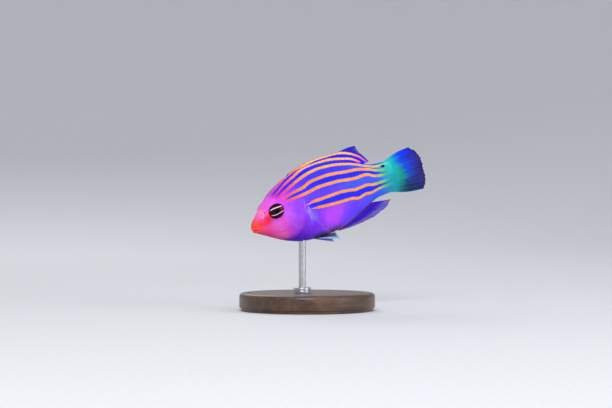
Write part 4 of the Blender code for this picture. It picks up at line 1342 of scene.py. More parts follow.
@dataclass
class Scales:
    """Overlapping scales: rows from head to tail, each row half a scale behind its neighbours.

    A scale is a thin plate with a rounded rear edge. Its root is tucked under the scale in front
    and it rises evenly toward its rear edge, so the front one always lies on top.
    """

    body: Body
    markings: Markings
    first: float = 0.225
    last: float = 1.035
    columns: int = 27
    rows: int = 12
    overlap: float = 1.95
    points_along: int = 7
    points_across: int = 8
    rise_mm: float = 0.125
    sunk_mm: float = 0.035
    thickness_mm: float = 0.055
    bulge_mm: float = 0.02
    roundness: float = 0.30
    width: float = 0.94
    root_narrowing: float = 0.10
    front: Points = (
        (0.0, 0.236), (0.10, 0.244), (0.20, 0.278), (0.30, 0.318), (0.36, 0.334), (0.50, 0.330),
        (0.62, 0.322), (0.74, 0.300), (0.86, 0.262), (1.0, 0.236),
    )
    upper_tubes: int = 2
    lower_tubes: int = 5
    tube_break: float = 0.78
    tube_mm: float = 0.07
    map_size: float = 0.92
    map_margin: float = 0.04
    seed: int = 6
    finish: Finish = ScaleFinish("wet_scales", coat=0.06, coat_roughness=0.22, specular=0.12)

    def build(self, side: Side) -> Piece:
        """Build the scales of one flank as one joined mesh.

        Args:
            side: The flank.

        Returns:
            The piece.
        """
        pitch = (self.last - self.first) / self.columns
        grid = np.meshgrid(np.arange(self.columns), np.arange(self.rows), indexing="ij")
        column, row = (numbers.ravel() for numbers in grid)
        rear_x = self.first + pitch * (column + 0.5 + 0.5 * (row % 2))
        kept = rear_x - 0.6 * pitch > smooth_curve(self.front, (row + 0.5) / self.rows)
        column, row, rear_x = column[kept], row[kept], rear_x[kept]
        s = np.linspace(0.0, 1.0, self.points_along)[None, :, None]
        v = np.linspace(-1.0, 1.0, self.points_across)[None, None, :]
        rim = s * (1.0 - self.roundness * np.abs(v) ** 2.3) * np.ones((len(row), 1, 1))
        length = pitch * self.overlap
        x = rear_x[:, None, None] - length + length * rim
        spread = v * (self.width - self.root_narrowing * (1.0 - s)) / self.rows
        w = np.clip(((row + 0.5) / self.rows)[:, None, None] + spread, 0.003, 0.997)
        tube = self.tube(row, rear_x)[:, None, None] * hump(v, 0.10)
        tube = tube * ease(0.30, 0.48, s) * ease(0.95, 0.80, s)
        return self.join(side, column, row, x, w, self.rise_mm * rim - self.sunk_mm + tube, rim)

    def tube(self, row: Array, rear_x: Array) -> Array:
        """Height of the lateral line's tube on each scale: high in front, midway on the stem."""
        upper = (row == self.upper_tubes) & (rear_x < self.tube_break)
        lower = (row == self.lower_tubes) & (rear_x >= self.tube_break)
        return np.where(upper | lower, self.tube_mm, 0.0)

    def join(
        self, side: Side, column: Array, row: Array, x: Array, w: Array, lift: Array, rim: Array
    ) -> Piece:
        """Join the plates: a grid on top, and under it a fan from the rim to one point.

        Args:
            side: The flank.
            column: Each scale's column.
            row: Each scale's row.
            x: Places along the body of each scale's points.
            w: Their shares of the way round.
            lift: Their heights over the skin in millimetres.
            rim: Their shares of the way to the rear edge.

        Returns:
            The piece.
        """
        count, along, across = x.shape
        outward = self.body.outward(x, w, side.value)
        top = self.body.on_skin(x, w, side.value) + outward * (lift * MM)[..., None]
        quads, shares = grid_faces(along, across, False)
        border, corner = grid_border(along, across)
        low = (top - outward * (self.thickness_mm * MM)).reshape(count, -1, 3)[:, border]
        swell = outward[:, along // 2, across // 2, None] * self.bulge_mm * MM
        middle = low.mean(axis=1, keepdims=True) - swell
        points = np.concatenate((top.reshape(count, -1, 3), low, middle), axis=1)
        size, edge = along * across, len(border)
        ring = size + np.arange(edge)
        there = np.roll(np.arange(edge), -1)
        walls = np.stack((border, ring, ring[there], border[there]), axis=1)
        under = np.stack((ring, np.full(edge, size + edge), ring[there]), axis=1)
        wall_map = np.stack((corner, corner, corner[there], corner[there]), axis=1)
        under_map = np.stack((corner, np.full_like(corner, 0.5), corner[there]), axis=1)
        start = (np.arange(count) * (size + edge + 1))[:, None, None]
        cells = np.array((self.columns, self.rows))
        cell = np.stack((column, row), axis=-1)[:, None, :] / cells
        parts = []
        for faces, places in ((quads, shares), (walls, wall_map), (under, under_map)):
            corners = faces.shape[1]
            spread = cell + self.map_size / cells * (places.reshape(1, -1, 2) + self.map_margin)
            parts.append(((faces[None] + start).reshape(-1, corners), spread.reshape(-1, corners, 2)))
        fields = self.markings.fields(x, w, self.body.lookup(x, w)[1])
        tone = np.random.default_rng(self.seed).random(count)
        fields |= {"rim": rim, "tone": np.broadcast_to(tone[:, None, None], x.shape)}
        fields = {label: self.on_all(values, border) for label, values in fields.items()}
        name = f"scales_{side.word}"
        return make_piece(name, points.reshape(-1, 3), parts, self.finish, "flank_skin", (), fields, 40.0)

    def on_all(self, values: Array, border: Array) -> Array:
        """A field over the grid, carried on to the rim below and the point under the middle."""
        flat = values.reshape(len(values), -1, *values.shape[3:])
        everything = np.concatenate((flat, flat[:, border], flat[:, :1]), axis=1)
        return everything.reshape(-1, *values.shape[3:])


@dataclass
class Fin:
    """A fin: a sheet between a root line and a margin line, ridged along its rays.

    The sheet is root + (margin - root) * reach, where the reach falls back between two rays. Its
    half thickness is the membrane's, plus a bell on each ray. Soft rays split in two, twice over.
    """

    body: Body
    name: str
    nodes: tuple[str, ...]
    slot: str
    finish: FinFinish
    rays: int
    columns_per_ray: int = 14
    rows: int = 48
    sunk: float = 0.09
    notch: float = 0.05
    spine_notch: float = 0.16
    spines_end: float = 0.0
    uneven: float = 0.012
    ray_half: tuple[float, float] = (0.22, 0.09)
    membrane_half: tuple[float, float] = (0.09, 0.05)
    thin_edge: float = 0.55
    ray_width: tuple[float, float] = (0.115, 0.055)
    splits: tuple[tuple[float, float], ...] = ((0.17, 0.38), (0.075, 0.72))
    wave_mm: float = 0.22
    waves: float = 2.4
    wave_start: float = 1.1
    map_size: tuple[float, float] = (0.98, 0.48)
    map_margin: float = 0.01
    crease: float = 55.0
    seed: int = 3

    def lines(self, f: Array) -> tuple[Array, Array]:
        """Root and margin of the fin at shares of the way along it, in shares of the length."""
        raise NotImplementedError

    def tints(self, f: Array, sheet: Array, reach: Array) -> Fields:
        """Fields that colour this fin."""
        raise NotImplementedError

    def shape_sheet(self, sheet: Array, f: Array, reach: Array) -> Array:
        """The sheet as it is, for fins whose rays are straight."""
        return sheet

    def ridge(self, f: Array, reach: Array) -> Array:
        """Height of the rays: bells about each ray, which part at the two splits.

        Args:
            f: Shares of the way along the fin.
            reach: Shares of the way out.

        Returns:
            Between 0 on the membrane and 1 on a ray.
        """
        phase = f * (self.rays - 1)
        away = phase - np.round(phase)
        soft = ease(self.spines_end - 0.01, self.spines_end + 0.01, f) if self.spines_end else 1.0
        first, second = (apart * ease(place, 1.0, reach) * soft for apart, place in self.splits)
        width = self.ray_width[0] + (self.ray_width[1] - self.ray_width[0]) * reach
        bells = [
            hump(away - one * first - two * second, width) for one in (-1.0, 1.0) for two in (-1.0, 1.0)
        ]
        return np.max(bells, axis=0)

    def build(self) -> Piece:
        """Build the fin and let it stand for its solid."""
        count = (self.rays - 1) * self.columns_per_ray + 1
        f = np.linspace(0.0, 1.0, count)[:, None]
        t = np.linspace(-self.sunk, 1.0, self.rows)[None, :]
        reach = np.clip(t, 0.0, 1.0) * np.ones_like(f)
        lengths = np.random.default_rng(self.seed).normal(0.0, self.uneven, self.rays)
        uneven = np.interp(f * (self.rays - 1), np.arange(self.rays), lengths)
        depth = np.where(f < self.spines_end, self.spine_notch, self.notch)
        fall = depth * np.sin(math.pi * f * (self.rays - 1)) ** 2
        root, margin = self.lines(f[:, 0])
        out = (t * (1.0 - fall + np.minimum(uneven, 0.0)))[..., None]
        sheet = self.shape_sheet(root[:, None] + (margin - root)[:, None] * out, f, reach)
        ray = self.ridge(f, reach)
        middle = self.body.to_world(sheet)
        normals = self.normals(middle)
        sway = self.wave_mm * MM * np.sin(TURN * self.waves * f + self.wave_start) * reach**2
        middle = middle + normals * sway[..., None]
        membrane, stem = (np.interp(reach, (0.0, 1.0), ends) for ends in (self.membrane_half, self.ray_half))
        half = (membrane + (stem - membrane) * ray) * MM * (1.0 - self.thin_edge * ease(0.94, 1.0, reach))
        long = np.linalg.norm((margin - root) * self.body.length, axis=-1)[:, None]
        fields = {"ray": ray, "reach": reach, "millimetres": reach * long / MM, **self.tints(f, sheet, reach)}
        return self.close(middle, normals * half[..., None], fields)

    def slips(self, f: Array, amount: float) -> Array:
        """Random shift of each half ray, by which colours run out in streaks along the rays."""
        drawn = np.random.default_rng(self.seed + 50).normal(0.0, amount, 2 * self.rays)
        return np.interp(f * (2 * self.rays - 1), np.arange(2 * self.rays), drawn)

    def normals(self, middle: Array) -> Array:
        """Unit vectors square to the sheet: the cross product of its two gradients."""
        along, outward = np.gradient(middle, axis=(0, 1))
        return unit(np.cross(along, outward))

    def close(self, middle: Array, offset: Array, fields: Fields) -> Piece:
        """Join the two faces of the sheet round its border and make the piece.

        Args:
            middle: The sheet halfway through the fin.
            offset: The way from it to the near face.
            fields: Values over the sheet.

        Returns:
            The fin.
        """
        columns, rows, _ = middle.shape
        count = columns * rows
        points = np.concatenate(((middle + offset).reshape(-1, 3), (middle - offset).reshape(-1, 3)))
        quads, shares = grid_faces(columns, rows, False)
        border, place = (np.roll(values[::-1], 1, axis=0) for values in grid_border(columns, rows))
        near_map, place = (values * self.map_size + self.map_margin for values in (shares, place))
        far_map = near_map + (0.0, 0.5)
        there, following = (np.roll(values, -1, axis=0) for values in (border, place))
        rim = np.stack((border, there, there + count, border + count), axis=1)
        rim_map = np.stack((place, following, following, place), axis=1)
        parts = [(quads, near_map), (quads[:, ::-1] + count, far_map[:, ::-1]), (rim[:, ::-1], rim_map)]
        doubled = {
            label: np.concatenate((values.reshape(count, *values.shape[2:]),) * 2)
            for label, values in fields.items()
        }
        return make_piece(self.name, points, parts, self.finish, self.slot, self.nodes, doubled, self.crease)


@dataclass
class MedianFin(Fin):
    """A fin of the body's middle line, on its back where the way is 1 and its belly where it is -1.

    The margin gives, for shares of the way along, x and the height over the body's outline.
    """

    base: tuple[float, float] = (0.0, 1.0)
    margin: Points = ()
    way: float = 1.0

    def outline(self, x: Array) -> Array:
        """The body's outline that the fin grows from."""
        return self.body.outline(self.body.back if self.way > 0.0 else self.body.belly, x)

    def lines(self, f: Array) -> tuple[Array, Array]:
        """Root on the body's own outline, and margin a height away from it."""
        root_x = self.base[0] + (self.base[1] - self.base[0]) * f
        margin_x, height = table_curves(self.margin, f)
        flat = np.zeros_like(f)
        root = np.stack((root_x, flat, self.outline(root_x)), axis=-1)
        return root, np.stack((margin_x, flat, self.outline(margin_x) + self.way * height), axis=-1)

    def height(self, sheet: Array) -> Array:
        """How far each point of the sheet stands off the body's outline."""
        return self.way * (sheet[..., 2] - self.outline(sheet[..., 0]))


@dataclass
class DorsalFin(MedianFin):
    """The long fin of the back: low spines in front, a raised soft point behind."""

    base: tuple[float, float] = (0.315, 0.865)
    margin: Points = (
        (0.0, 0.330, 0.012), (0.10, 0.420, 0.022), (0.25, 0.525, 0.031), (0.40, 0.625, 0.041),
        (0.55, 0.712, 0.053), (0.62, 0.778, 0.079), (0.68, 0.842, 0.104), (0.75, 0.858, 0.072),
        (0.90, 0.888, 0.044), (1.0, 0.912, 0.020),
    )
    upper_line: Points = (
        (0.335, 0.004), (0.358, 0.007), (0.452, 0.015), (0.543, 0.027), (0.619, 0.032), (0.707, 0.045),
        (0.776, 0.049), (0.840, 0.044), (0.875, 0.028), (0.90, 0.011),
    )
    lower_line: Points = (
        (0.43, -0.003), (0.50, 0.002), (0.551, 0.005), (0.611, 0.009), (0.740, 0.014), (0.787, 0.017),
        (0.850, 0.009),
    )
    zones: tuple[Zone, ...] = (
        Zone(0.45, 0.01, 0.20, 0.02, (0.010, 0.008, 0.900)),
        Zone(0.70, 0.02, 0.14, 0.022, (0.004, 0.004, 0.950)),
        Zone(0.84, 0.080, 0.08, 0.024, (0.012, 0.006, 0.380)),
        Zone(0.56, 0.045, 0.16, 0.014, (0.120, 0.020, 0.620)),
    )

    def tints(self, f: Array, sheet: Array, reach: Array) -> Fields:
        """Blue ground, and the two lines that run on from the back, in millimetres from each."""
        x, height = sheet[..., 0], self.height(sheet)
        found = {"tint": zone_colour(self.zones, x, height), "along": x}
        for line, path in (("upper", self.upper_line), ("lower", self.lower_line)):
            start, end = path[0][0], path[-1][0]
            found[f"{line}_line"] = (height - smooth_curve(path, x)) * self.body.length / MM
            found[f"{line}_fade"] = ease(start - 0.02, start + 0.01, x) * ease(end + 0.01, end - 0.02, x)
        return {**found, "thin": ease(0.3, 2.4, found["upper_line"]) * ease(0.64, 0.76, f)}


@dataclass
class AnalFin(MedianFin):
    """The fin under the rear of the body."""

    base: tuple[float, float] = (0.575, 0.860)
    margin: Points = (
        (0.0, 0.600, 0.014), (0.25, 0.700, 0.037), (0.50, 0.800, 0.070), (0.70, 0.880, 0.087),
        (0.85, 0.950, 0.080), (1.0, 1.000, 0.040),
    )
    way: float = -1.0
    zones: tuple[Zone, ...] = (
        Zone(0.75, 0.006, 0.30, 0.010, (0.120, 0.006, 0.160)),
        Zone(0.75, 0.030, 0.30, 0.014, (0.002, 0.001, 0.560)),
        Zone(0.85, 0.056, 0.30, 0.010, (0.120, 0.008, 0.300)),
        Zone(0.85, 0.078, 0.30, 0.014, (0.020, 0.006, 0.640)),
    )

    def tints(self, f: Array, sheet: Array, reach: Array) -> Fields:
        """A dark band at the base, then blue, then violet."""
        depth = self.height(sheet) + self.slips(f, 0.012) * ease(0.25, 0.60, reach)
        return {"tint": zone_colour(self.zones, sheet[..., 0], depth), "thin": ease(0.20, 0.95, reach)}


@dataclass
class TailFin(Fin):
    """The rounded tail fin, its upper and lower edges bowed outward."""

    root_levels: tuple[float, float] = (0.076, -0.101)
    margin: Points = (
        (0.0, 1.195, 0.110), (0.20, 1.242, 0.074), (0.36, 1.262, 0.034), (0.50, 1.270, -0.002),
        (0.75, 1.270, -0.072), (0.88, 1.262, -0.116), (1.0, 1.243, -0.155),
    )
    edge_bow: float = 0.010
    zones: tuple[Zone, ...] = (
        Zone(1.030, 0.045, 0.040, 0.050, (0.002, 0.560, 0.500)),
        Zone(1.030, -0.060, 0.040, 0.060, (0.002, 0.300, 0.330)),
        Zone(1.075, 0.000, 0.030, 0.060, (0.002, 0.420, 0.320)),
        Zone(1.105, -0.040, 0.022, 0.045, (0.002, 0.280, 0.120)),
        Zone(1.140, 0.085, 0.060, 0.036, (0.001, 0.010, 0.880)),
        Zone(1.165, 0.010, 0.030, 0.050, (0.002, 0.050, 0.640)),
        Zone(1.150, -0.115, 0.070, 0.045, (0.003, 0.010, 0.055)),
        Zone(1.210, 0.060, 0.030, 0.060, (0.010, 0.008, 0.360)),
        Zone(1.225, -0.060, 0.025, 0.080, (0.006, 0.010, 0.120)),
        Zone(1.255, -0.020, 0.025, 0.140, (0.020, 0.002, 0.035)),
    )

    def lines(self, f: Array) -> tuple[Array, Array]:
        """Upright root at the end of the stem, and the rounded rear margin."""
        flat = np.zeros_like(f)
        top, low = self.root_levels
        x, z = table_curves(self.margin, f)
        return np.stack((flat + 1.0, flat, top + (low - top) * f), axis=-1), np.stack((x, flat, z), axis=-1)

    def shape_sheet(self, sheet: Array, f: Array, reach: Array) -> Array:
        """Bow the rays away from the middle one by half a sine wave."""
        bowed = sheet.copy()
        bowed[..., 2] += self.edge_bow * (1.0 - 2.0 * f) * np.sin(math.pi * reach)
        return bowed

    def tints(self, f: Array, sheet: Array, reach: Array) -> Fields:
        """The stem's colours at the base, green behind them, then dark blue in streaks."""
        x, z = sheet[..., 0], sheet[..., 2]
        slip = self.slips(f, 0.016) * ease(0.10, 0.60, reach)
        stem = zone_colour(Markings.zones, x, z)
        tint = blend(stem, zone_colour(self.zones, x + slip, z), ease(1.02, 1.08, x + 0.5 * slip))
        return {"tint": tint, "thin": ease(1.10, 1.24, x + slip - 0.35 * np.minimum(z, 0.0))}


@dataclass
class PectoralFin(Fin):
    """A nearly clear fin swept down and back from behind the gill cover."""

    side: Side = Side.LEFT
    root: Points = ((0.343, 0.012), (0.353, -0.055))
    leading: tuple[float, Colour] = (0.18, (-0.02, 0.60, -0.78))
    trailing: tuple[float, Colour] = (0.12, (0.55, 0.40, -0.70))
    taper: float = 1.4
    bulge: float = 0.020
    root_colour: Colour = (0.66, 0.44, 0.97)
    colour: Colour = (0.36, 0.20, 0.96)

    def lines(self, f: Array) -> tuple[Array, Array]:
        """Root down the flank, and rays that turn evenly from the leading way to the trailing."""
        (top_x, top_z), (low_x, low_z) = self.root
        x, z = top_x + (low_x - top_x) * f, top_z + (low_z - top_z) * f
        y = np.array([self.body.flank(px, pz) for px, pz in zip(x, z)])
        root = np.stack((x, self.side.value * y, z), axis=-1)
        (lead_length, lead_way), (trail_length, trail_way) = self.leading, self.trailing
        way = unit(np.array(lead_way) * (1.0 - f)[:, None] + np.array(trail_way) * f[:, None])
        way[:, 1] *= self.side.value
        length = lead_length + (trail_length - lead_length) * f**self.taper
        return root, root + way * (length + self.bulge * np.sin(math.pi * f))[:, None]

    def tints(self, f: Array, sheet: Array, reach: Array) -> Fields:
        """Pale at the root and clear lilac beyond."""
        tint = blend(np.array(self.root_colour), self.colour, ease(0.0, 0.40, reach))
        return {"tint": tint, "thin": 0.50 + 0.50 * ease(0.0, 0.30, reach)}


@dataclass
class PelvicFin(Fin):
    """A small fin trailing under the belly, swung down about its root."""

    side: Side = Side.LEFT
    drop: float = 0.0
    root: Points = ((0.382, 0.026), (0.424, 0.021))
    tips: Points = ((0.0, 0.576, 0.030, -0.246), (0.4, 0.566, 0.026, -0.229), (1.0, 0.556, 0.021, -0.198))
    pale: Colour = (0.22, 0.70, 1.0)
    # Near black of the folded membrane, partly painted shade between the fin and the belly.
    black: Colour = (0.006, 0.001, 0.020)
    maroon: Colour = (0.075, 0.003, 0.070)

    def lines(self, f: Array) -> tuple[Array, Array]:
        """Root on the under side of the belly, and tips that lie lower the longer the ray is."""
        (front_x, front_y), (rear_x, rear_y) = self.root
        x, y = front_x + (rear_x - front_x) * f, front_y + (rear_y - front_y) * f
        level = smooth_curve(self.body.widest_level, x)
        power = smooth_curve(self.body.lower_squareness, x)
        share = y / self.body.outline(self.body.half_width, x)
        depth = level - self.body.outline(self.body.belly, x)
        z = level - depth * (1.0 - share**power) ** (1.0 / power)
        root = np.stack((x, self.side.value * y, z), axis=-1)
        tip_x, tip_y, tip_z = table_curves(self.tips, f)
        reach = tip_x - x
        tip_z = tip_z - self.drop * reach / reach[0]
        return root, np.stack((tip_x, self.side.value * tip_y, tip_z), axis=-1)

    def normals(self, middle: Array) -> Array:
        """Straight sideways, because the fin is folded and nearly flat."""
        return np.broadcast_to((0.0, 1.0, 0.0), middle.shape)

    def tints(self, f: Array, sheet: Array, reach: Array) -> Fields:
        """A pale streak along the leading ray; behind it dark membrane, near black at the root, partly
        painted shade under the belly, and maroon further out.
        """
        dark = blend(np.array(self.black), self.maroon, ease(0.15, 0.70, reach))
        tint = blend(dark, self.pale, hump(f - 0.14, 0.26) * ease(0.06, 0.26, reach))
        return {"tint": tint, "thin": 0.6 * ease(0.75, 1.0, reach)}


@dataclass
class Eyeball:
    """An eyeball: an ellipsoid with a raised lens in the pupil and a groove at its limbus."""

    seat: EyeSeat
    rings: int = 90
    steps: int = 128
    pupil_place: tuple[float, float] = (-0.05, 0.09)
    pupil_reach: tuple[float, float] = (0.42, 0.32)
    lens_rise: float = 0.045
    pupil_groove: float = 0.020
    limbus_groove: float = 0.025
    glows: Points = (
        (0.66, 0.20, 0.26, 1.0), (-0.90, 0.06, 0.20, 0.30), (-0.62, -0.10, 0.16, 0.12),
        (0.0, -0.78, 0.30, 0.14),
    )
    upper_line: Points = (
        (-1.0, 0.28), (-0.81, 0.35), (-0.51, 0.45), (-0.13, 0.49), (0.29, 0.49), (0.73, 0.47), (1.0, 0.44),
    )
    lower_line: Points = (
        (-1.0, -0.34), (-0.80, -0.37), (-0.49, -0.42), (-0.24, -0.40), (0.18, -0.31), (0.79, -0.20),
        (1.0, -0.16),
    )
    finish: Finish = EyeFinish("eye_surface", roughness=0.16, coat=0.05, coat_roughness=0.02, specular=0.04)

    def glow(self, a: Array, b: Array) -> Array:
        """Red of the iris: strong toward the tail, faint toward the snout and below."""
        return np.max([
            strength * hump(np.hypot(a - place_a, b - place_b), reach)
            for place_a, place_b, reach, strength in self.glows
        ], axis=0)

    def build(self) -> Piece:
        """Build the eyeball from rings about its outward axis: radius sin t, height cos t."""
        turn = np.linspace(0.0, math.pi, self.rings + 2)[1:-1, None]
        around = np.arange(self.steps)[None, :] * TURN / self.steps
        flat = np.ones_like(around)
        ball = (np.sin(turn) * np.cos(around), np.sin(turn) * np.sin(around), np.cos(turn) * flat)
        poles = ((0.0, 0.0, 1.0), (0.0, 0.0, -1.0))
        local = np.concatenate((np.stack(ball, axis=-1).reshape(-1, 3), poles))
        a, b, c = local.T
        ring = np.hypot(a, b)
        (pupil_a, pupil_b), (wide, tall) = self.pupil_place, self.pupil_reach
        pupil = np.hypot((a - pupil_a) / wide, (b - pupil_b) / tall)
        swell = self.lens_rise * ease(1.02, 0.55, pupil) - self.pupil_groove * hump(pupil - 1.08, 0.09)
        swell = (swell - self.limbus_groove * hump(ring - 0.90, 0.03)) * ease(0.0, 0.2, c)
        middle, axes = self.seat.frame
        points = middle + (local * (1.0 + swell)[:, None] * self.seat.radii) @ axes
        spokes = np.maximum(ring, 1e-6)
        fields = {
            "ring": ring, "pupil": np.where(c > 0.0, pupil, 9.0), "glow": self.glow(a, b),
            "upper_gap": b - smooth_curve(self.upper_line, a),
            "lower_gap": b - smooth_curve(self.lower_line, a),
            "spoke_x": a / spokes, "spoke_y": b / spokes,
        }
        word = self.seat.side.word
        faces, nodes = capped_grid(self.rings, self.steps), (f"eye_{word}",)
        return make_piece(f"eyeball_{word}", points, faces, self.finish, "eye_gloss", nodes, fields)


def corner_arc(radius: float, top: float, bow: float, angles: Array) -> Array:
    """Radius and height along a rounded outer edge, over angles up from level."""
    return np.stack((radius - bow + bow * np.cos(angles), top - bow + bow * np.sin(angles)), axis=-1)


@dataclass
class Stand:
    """The display stand: three pieces turned to the sizes of their solids."""

    segments: int = 160
    crease: float = 35.0
    shoulder: float = 1.2 * MM
    groove_inset: float = 3.2 * MM
    groove_half: float = 0.35 * MM
    groove_depth: float = 0.22 * MM
    foot: Points = (
        (2.2, 0.0), (0.9, 0.0), (0.6, 0.3), (0.55, 0.9), (0.1, 1.1), (0.0, 1.3), (0.0, 2.8),
    )
    chamfer: float = 0.2 * MM
    bore: float = 1.5 * MM
    collar_edge: float = 0.18
    collar_groove: float = 0.10 * MM
    wood: Finish = WoodFinish("stained_wood", coat=0.30, coat_roughness=0.25)
    steel: Finish = SteelFinish("brushed_steel", metallic=1.0)

    def build(self) -> None:
        """Build base, rod and collar."""
        for name, shape, finish, slot in (
            ("base", self.base_profile, self.wood, "stand_wood"),
            ("rod", self.rod_profile, self.steel, "stand_steel"),
            ("collar", self.collar_profile, self.steel, "stand_steel"),
        ):
            low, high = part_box(f"stand_{name}")
            profile = shape((high.x - low.x) / 2.0, low.z, high.z)
            points, faces = self.turned(profile, ((low.x + high.x) / 2.0, (low.y + high.y) / 2.0))
            make_piece(f"turned_{name}", points, faces, finish, slot, (f"stand_{name}",), None, self.crease)

    def turned(self, profile: Array, centre: tuple[float, float]) -> tuple[Array, Faces]:
        """Turn a profile about an upright line.

        Args:
            profile: Radius and height of each point, in metres, both ends on the axis or joined.
            centre: The line's place in the row frame.

        Returns:
            The points, and the faces with their map.
        """
        around = np.arange(self.segments) * TURN / self.segments
        ring = np.stack((np.cos(around), np.sin(around)), axis=-1)
        solid = profile[0, 0] == 0.0
        rows = profile[1:-1] if solid else profile
        flat = rows[:, None, :1] * ring[None] + np.array(centre)
        height = np.broadcast_to(rows[:, None, 1:], (*flat.shape[:2], 1))
        points = np.concatenate((flat, height), axis=-1).reshape(-1, 3)
        if not solid:
            faces, shares = grid_faces(len(rows) + 1, self.segments, True)
            return points, [(faces % len(points), shares)]
        poles = [(*centre, profile[0, 1]), (*centre, profile[-1, 1])]
        return np.concatenate((points, poles)), capped_grid(len(rows), self.segments)

    def base_profile(self, radius: float, low: float, top: float) -> Array:
        """A disc with a stepped foot, a rounded shoulder and a fine turned groove on top."""
        foot = [(0.0, low)] + [(radius - inset * MM, low + rise * MM) for inset, rise in self.foot]
        bow = corner_arc(radius, top, self.shoulder, np.linspace(0.0, math.pi / 2.0, 14))
        middle = radius - self.groove_inset
        share = np.linspace(-1.0, 1.0, 9)
        depth = self.groove_depth * np.cos(share * math.pi / 2.0)
        groove = np.stack((middle - share * self.groove_half, top - depth), axis=-1)
        face = np.stack((np.linspace(middle - 1.0 * MM, 0.0, 24), np.full(24, top)), axis=-1)
        return np.concatenate((foot, bow, groove, face))

    def rod_profile(self, radius: float, low: float, top: float) -> Array:
        """A straight rod with chamfered ends."""
        heights = np.linspace(low + self.chamfer, top - self.chamfer, 30)
        wall = np.stack((np.full(30, radius), heights), axis=-1)
        narrow = radius - self.chamfer
        return np.concatenate((((0.0, low), (narrow, low)), wall, ((narrow, top), (0.0, top))))

    def collar_profile(self, radius: float, low: float, top: float) -> Array:
        """A ring with a rounded top edge and two fine grooves round its wall."""
        tall = top - low
        share = np.linspace(0.0, 1.0, 33)
        cut = self.collar_groove * (hump(share - 0.32, 0.05) + hump(share - 0.52, 0.05))
        wall = np.stack((radius - cut, low + tall * (1.0 - self.collar_edge) * share), axis=-1)
        bow = corner_arc(radius, top, self.collar_edge * tall, np.linspace(0.15, math.pi / 2.0, 8))
        return np.concatenate((wall, bow, ((self.bore, top), (self.bore, low))))


@dataclass
class Studio:
    """Pale bowl of floor and backdrop, soft lights, and the camera."""

    floor_radius: float = 0.7
    curve_radius: float = 1.4
    wall_height: float = 1.9
    segments: int = 96
    lens: float = 100.0
    sensor: float = 36.0
    heading: float = math.radians(40.0)
    distance: float = 0.56106
    offset: tuple[float, float] = (0.01799, 0.00809)
    aim: tuple[float, float, float] = (0.008, 0.0, 0.032)
    soft_boxes: tuple[tuple[str, tuple[float, float, float], float, float], ...] = (
        ("key_light", (-0.55, -0.62, 0.62), 0.55, 6.4),
        ("fill_light", (0.35, -0.85, 0.30), 0.60, 2.8),
        ("back_light", (0.30, 0.75, 0.60), 0.45, 1.8),
    )
    sky: Colour = (0.93, 0.95, 1.0)
    sky_strength: float = 0.62
    paper: Finish = PaperFinish("pale_paper", roughness=0.9, specular=0.1)

    def build(self, snout: tuple[float, float, float]) -> None:
        """Make the bowl, lights, world and camera.

        Args:
            snout: Tip of the snout in the row frame, which the camera is placed from.
        """
        self.build_bowl()
        self.build_lights()
        self.build_camera(Vector(snout))
        bpy.context.scene.view_settings.view_transform = "Standard"

    def build_bowl(self) -> None:
        """A flat disc that curves up all round into a wall, as one turned surface."""
        flat = np.linspace(0.0, self.floor_radius, 12)[1:]
        quarter = np.linspace(0.0, math.pi / 2.0, 17)[1:]
        curve = self.floor_radius + self.curve_radius * np.sin(quarter)
        radii = np.concatenate((flat, curve, [self.floor_radius + self.curve_radius]))
        rises = self.curve_radius * (1.0 - np.cos(quarter))
        heights = np.concatenate((np.zeros_like(flat), rises, [self.wall_height]))
        around = np.arange(self.segments) * TURN / self.segments
        upright = heights[:, None] * np.ones_like(around)
        turned = (radii[:, None] * np.cos(around), radii[:, None] * np.sin(around), upright)
        points = np.stack(turned, axis=-1).reshape(-1, 3)
        faces, _ = grid_faces(len(radii), self.segments, True)
        hub = [(column, (column + 1) % self.segments, len(points)) for column in range(self.segments)]
        mesh = bpy.data.meshes.new("studio_floor")
        mesh.from_pydata(np.concatenate((points, [(0.0, 0.0, 0.0)])).tolist(), [], faces.tolist() + hub)
        mesh.shade_smooth()
        mesh.materials.append(self.paper.make())
        floor = bpy.data.objects.new("studio_floor", mesh)
        bpy.context.scene.collection.objects.link(floor)

    def build_lights(self) -> None:
        """Three soft boxes, and a pale world that fills the shadows."""
        for name, place, size, power in self.soft_boxes:
            light = bpy.data.lights.new(name, "AREA")
            light.shape = "DISK"
            light.size = size
            light.energy = power
            self.aimed(name, light, Vector(place), Vector(self.aim) - Vector(place))
        world = bpy.data.worlds.new("studio_world")
        world.use_nodes = True
        background = world.node_tree.nodes["Background"]
        background.inputs["Color"].default_value = (*self.sky, 1.0)
        background.inputs["Strength"].default_value = self.sky_strength
        bpy.context.scene.world = world

    def build_camera(self, snout: Vector) -> None:
        """Set the camera level, at its heading, so that the snout stands where the photo has it."""
        ahead = Vector((math.sin(self.heading), math.cos(self.heading), 0.0))
        right = Vector((math.cos(self.heading), -math.sin(self.heading), 0.0))
        across, up = self.offset
        data = bpy.data.cameras.new("camera")
        data.lens = self.lens
        data.sensor_width = self.sensor
        data.clip_start = 0.02
        data.clip_end = 20.0
        place = snout - ahead * self.distance + right * across + Vector((0.0, 0.0, up))
        bpy.context.scene.camera = self.aimed("camera", data, place, ahead)

    def aimed(self, name: str, data: bpy.types.ID, place: Vector, ahead: Vector) -> Piece:
        """A lamp or camera set in its place and turned the way it faces."""
        thing = bpy.data.objects.new(name, data)
        thing.location = place
        thing.rotation_mode = "QUATERNION"
        thing.rotation_quaternion = ahead.to_track_quat("-Z", "Y")
        bpy.context.scene.collection.objects.link(thing)
        return thing


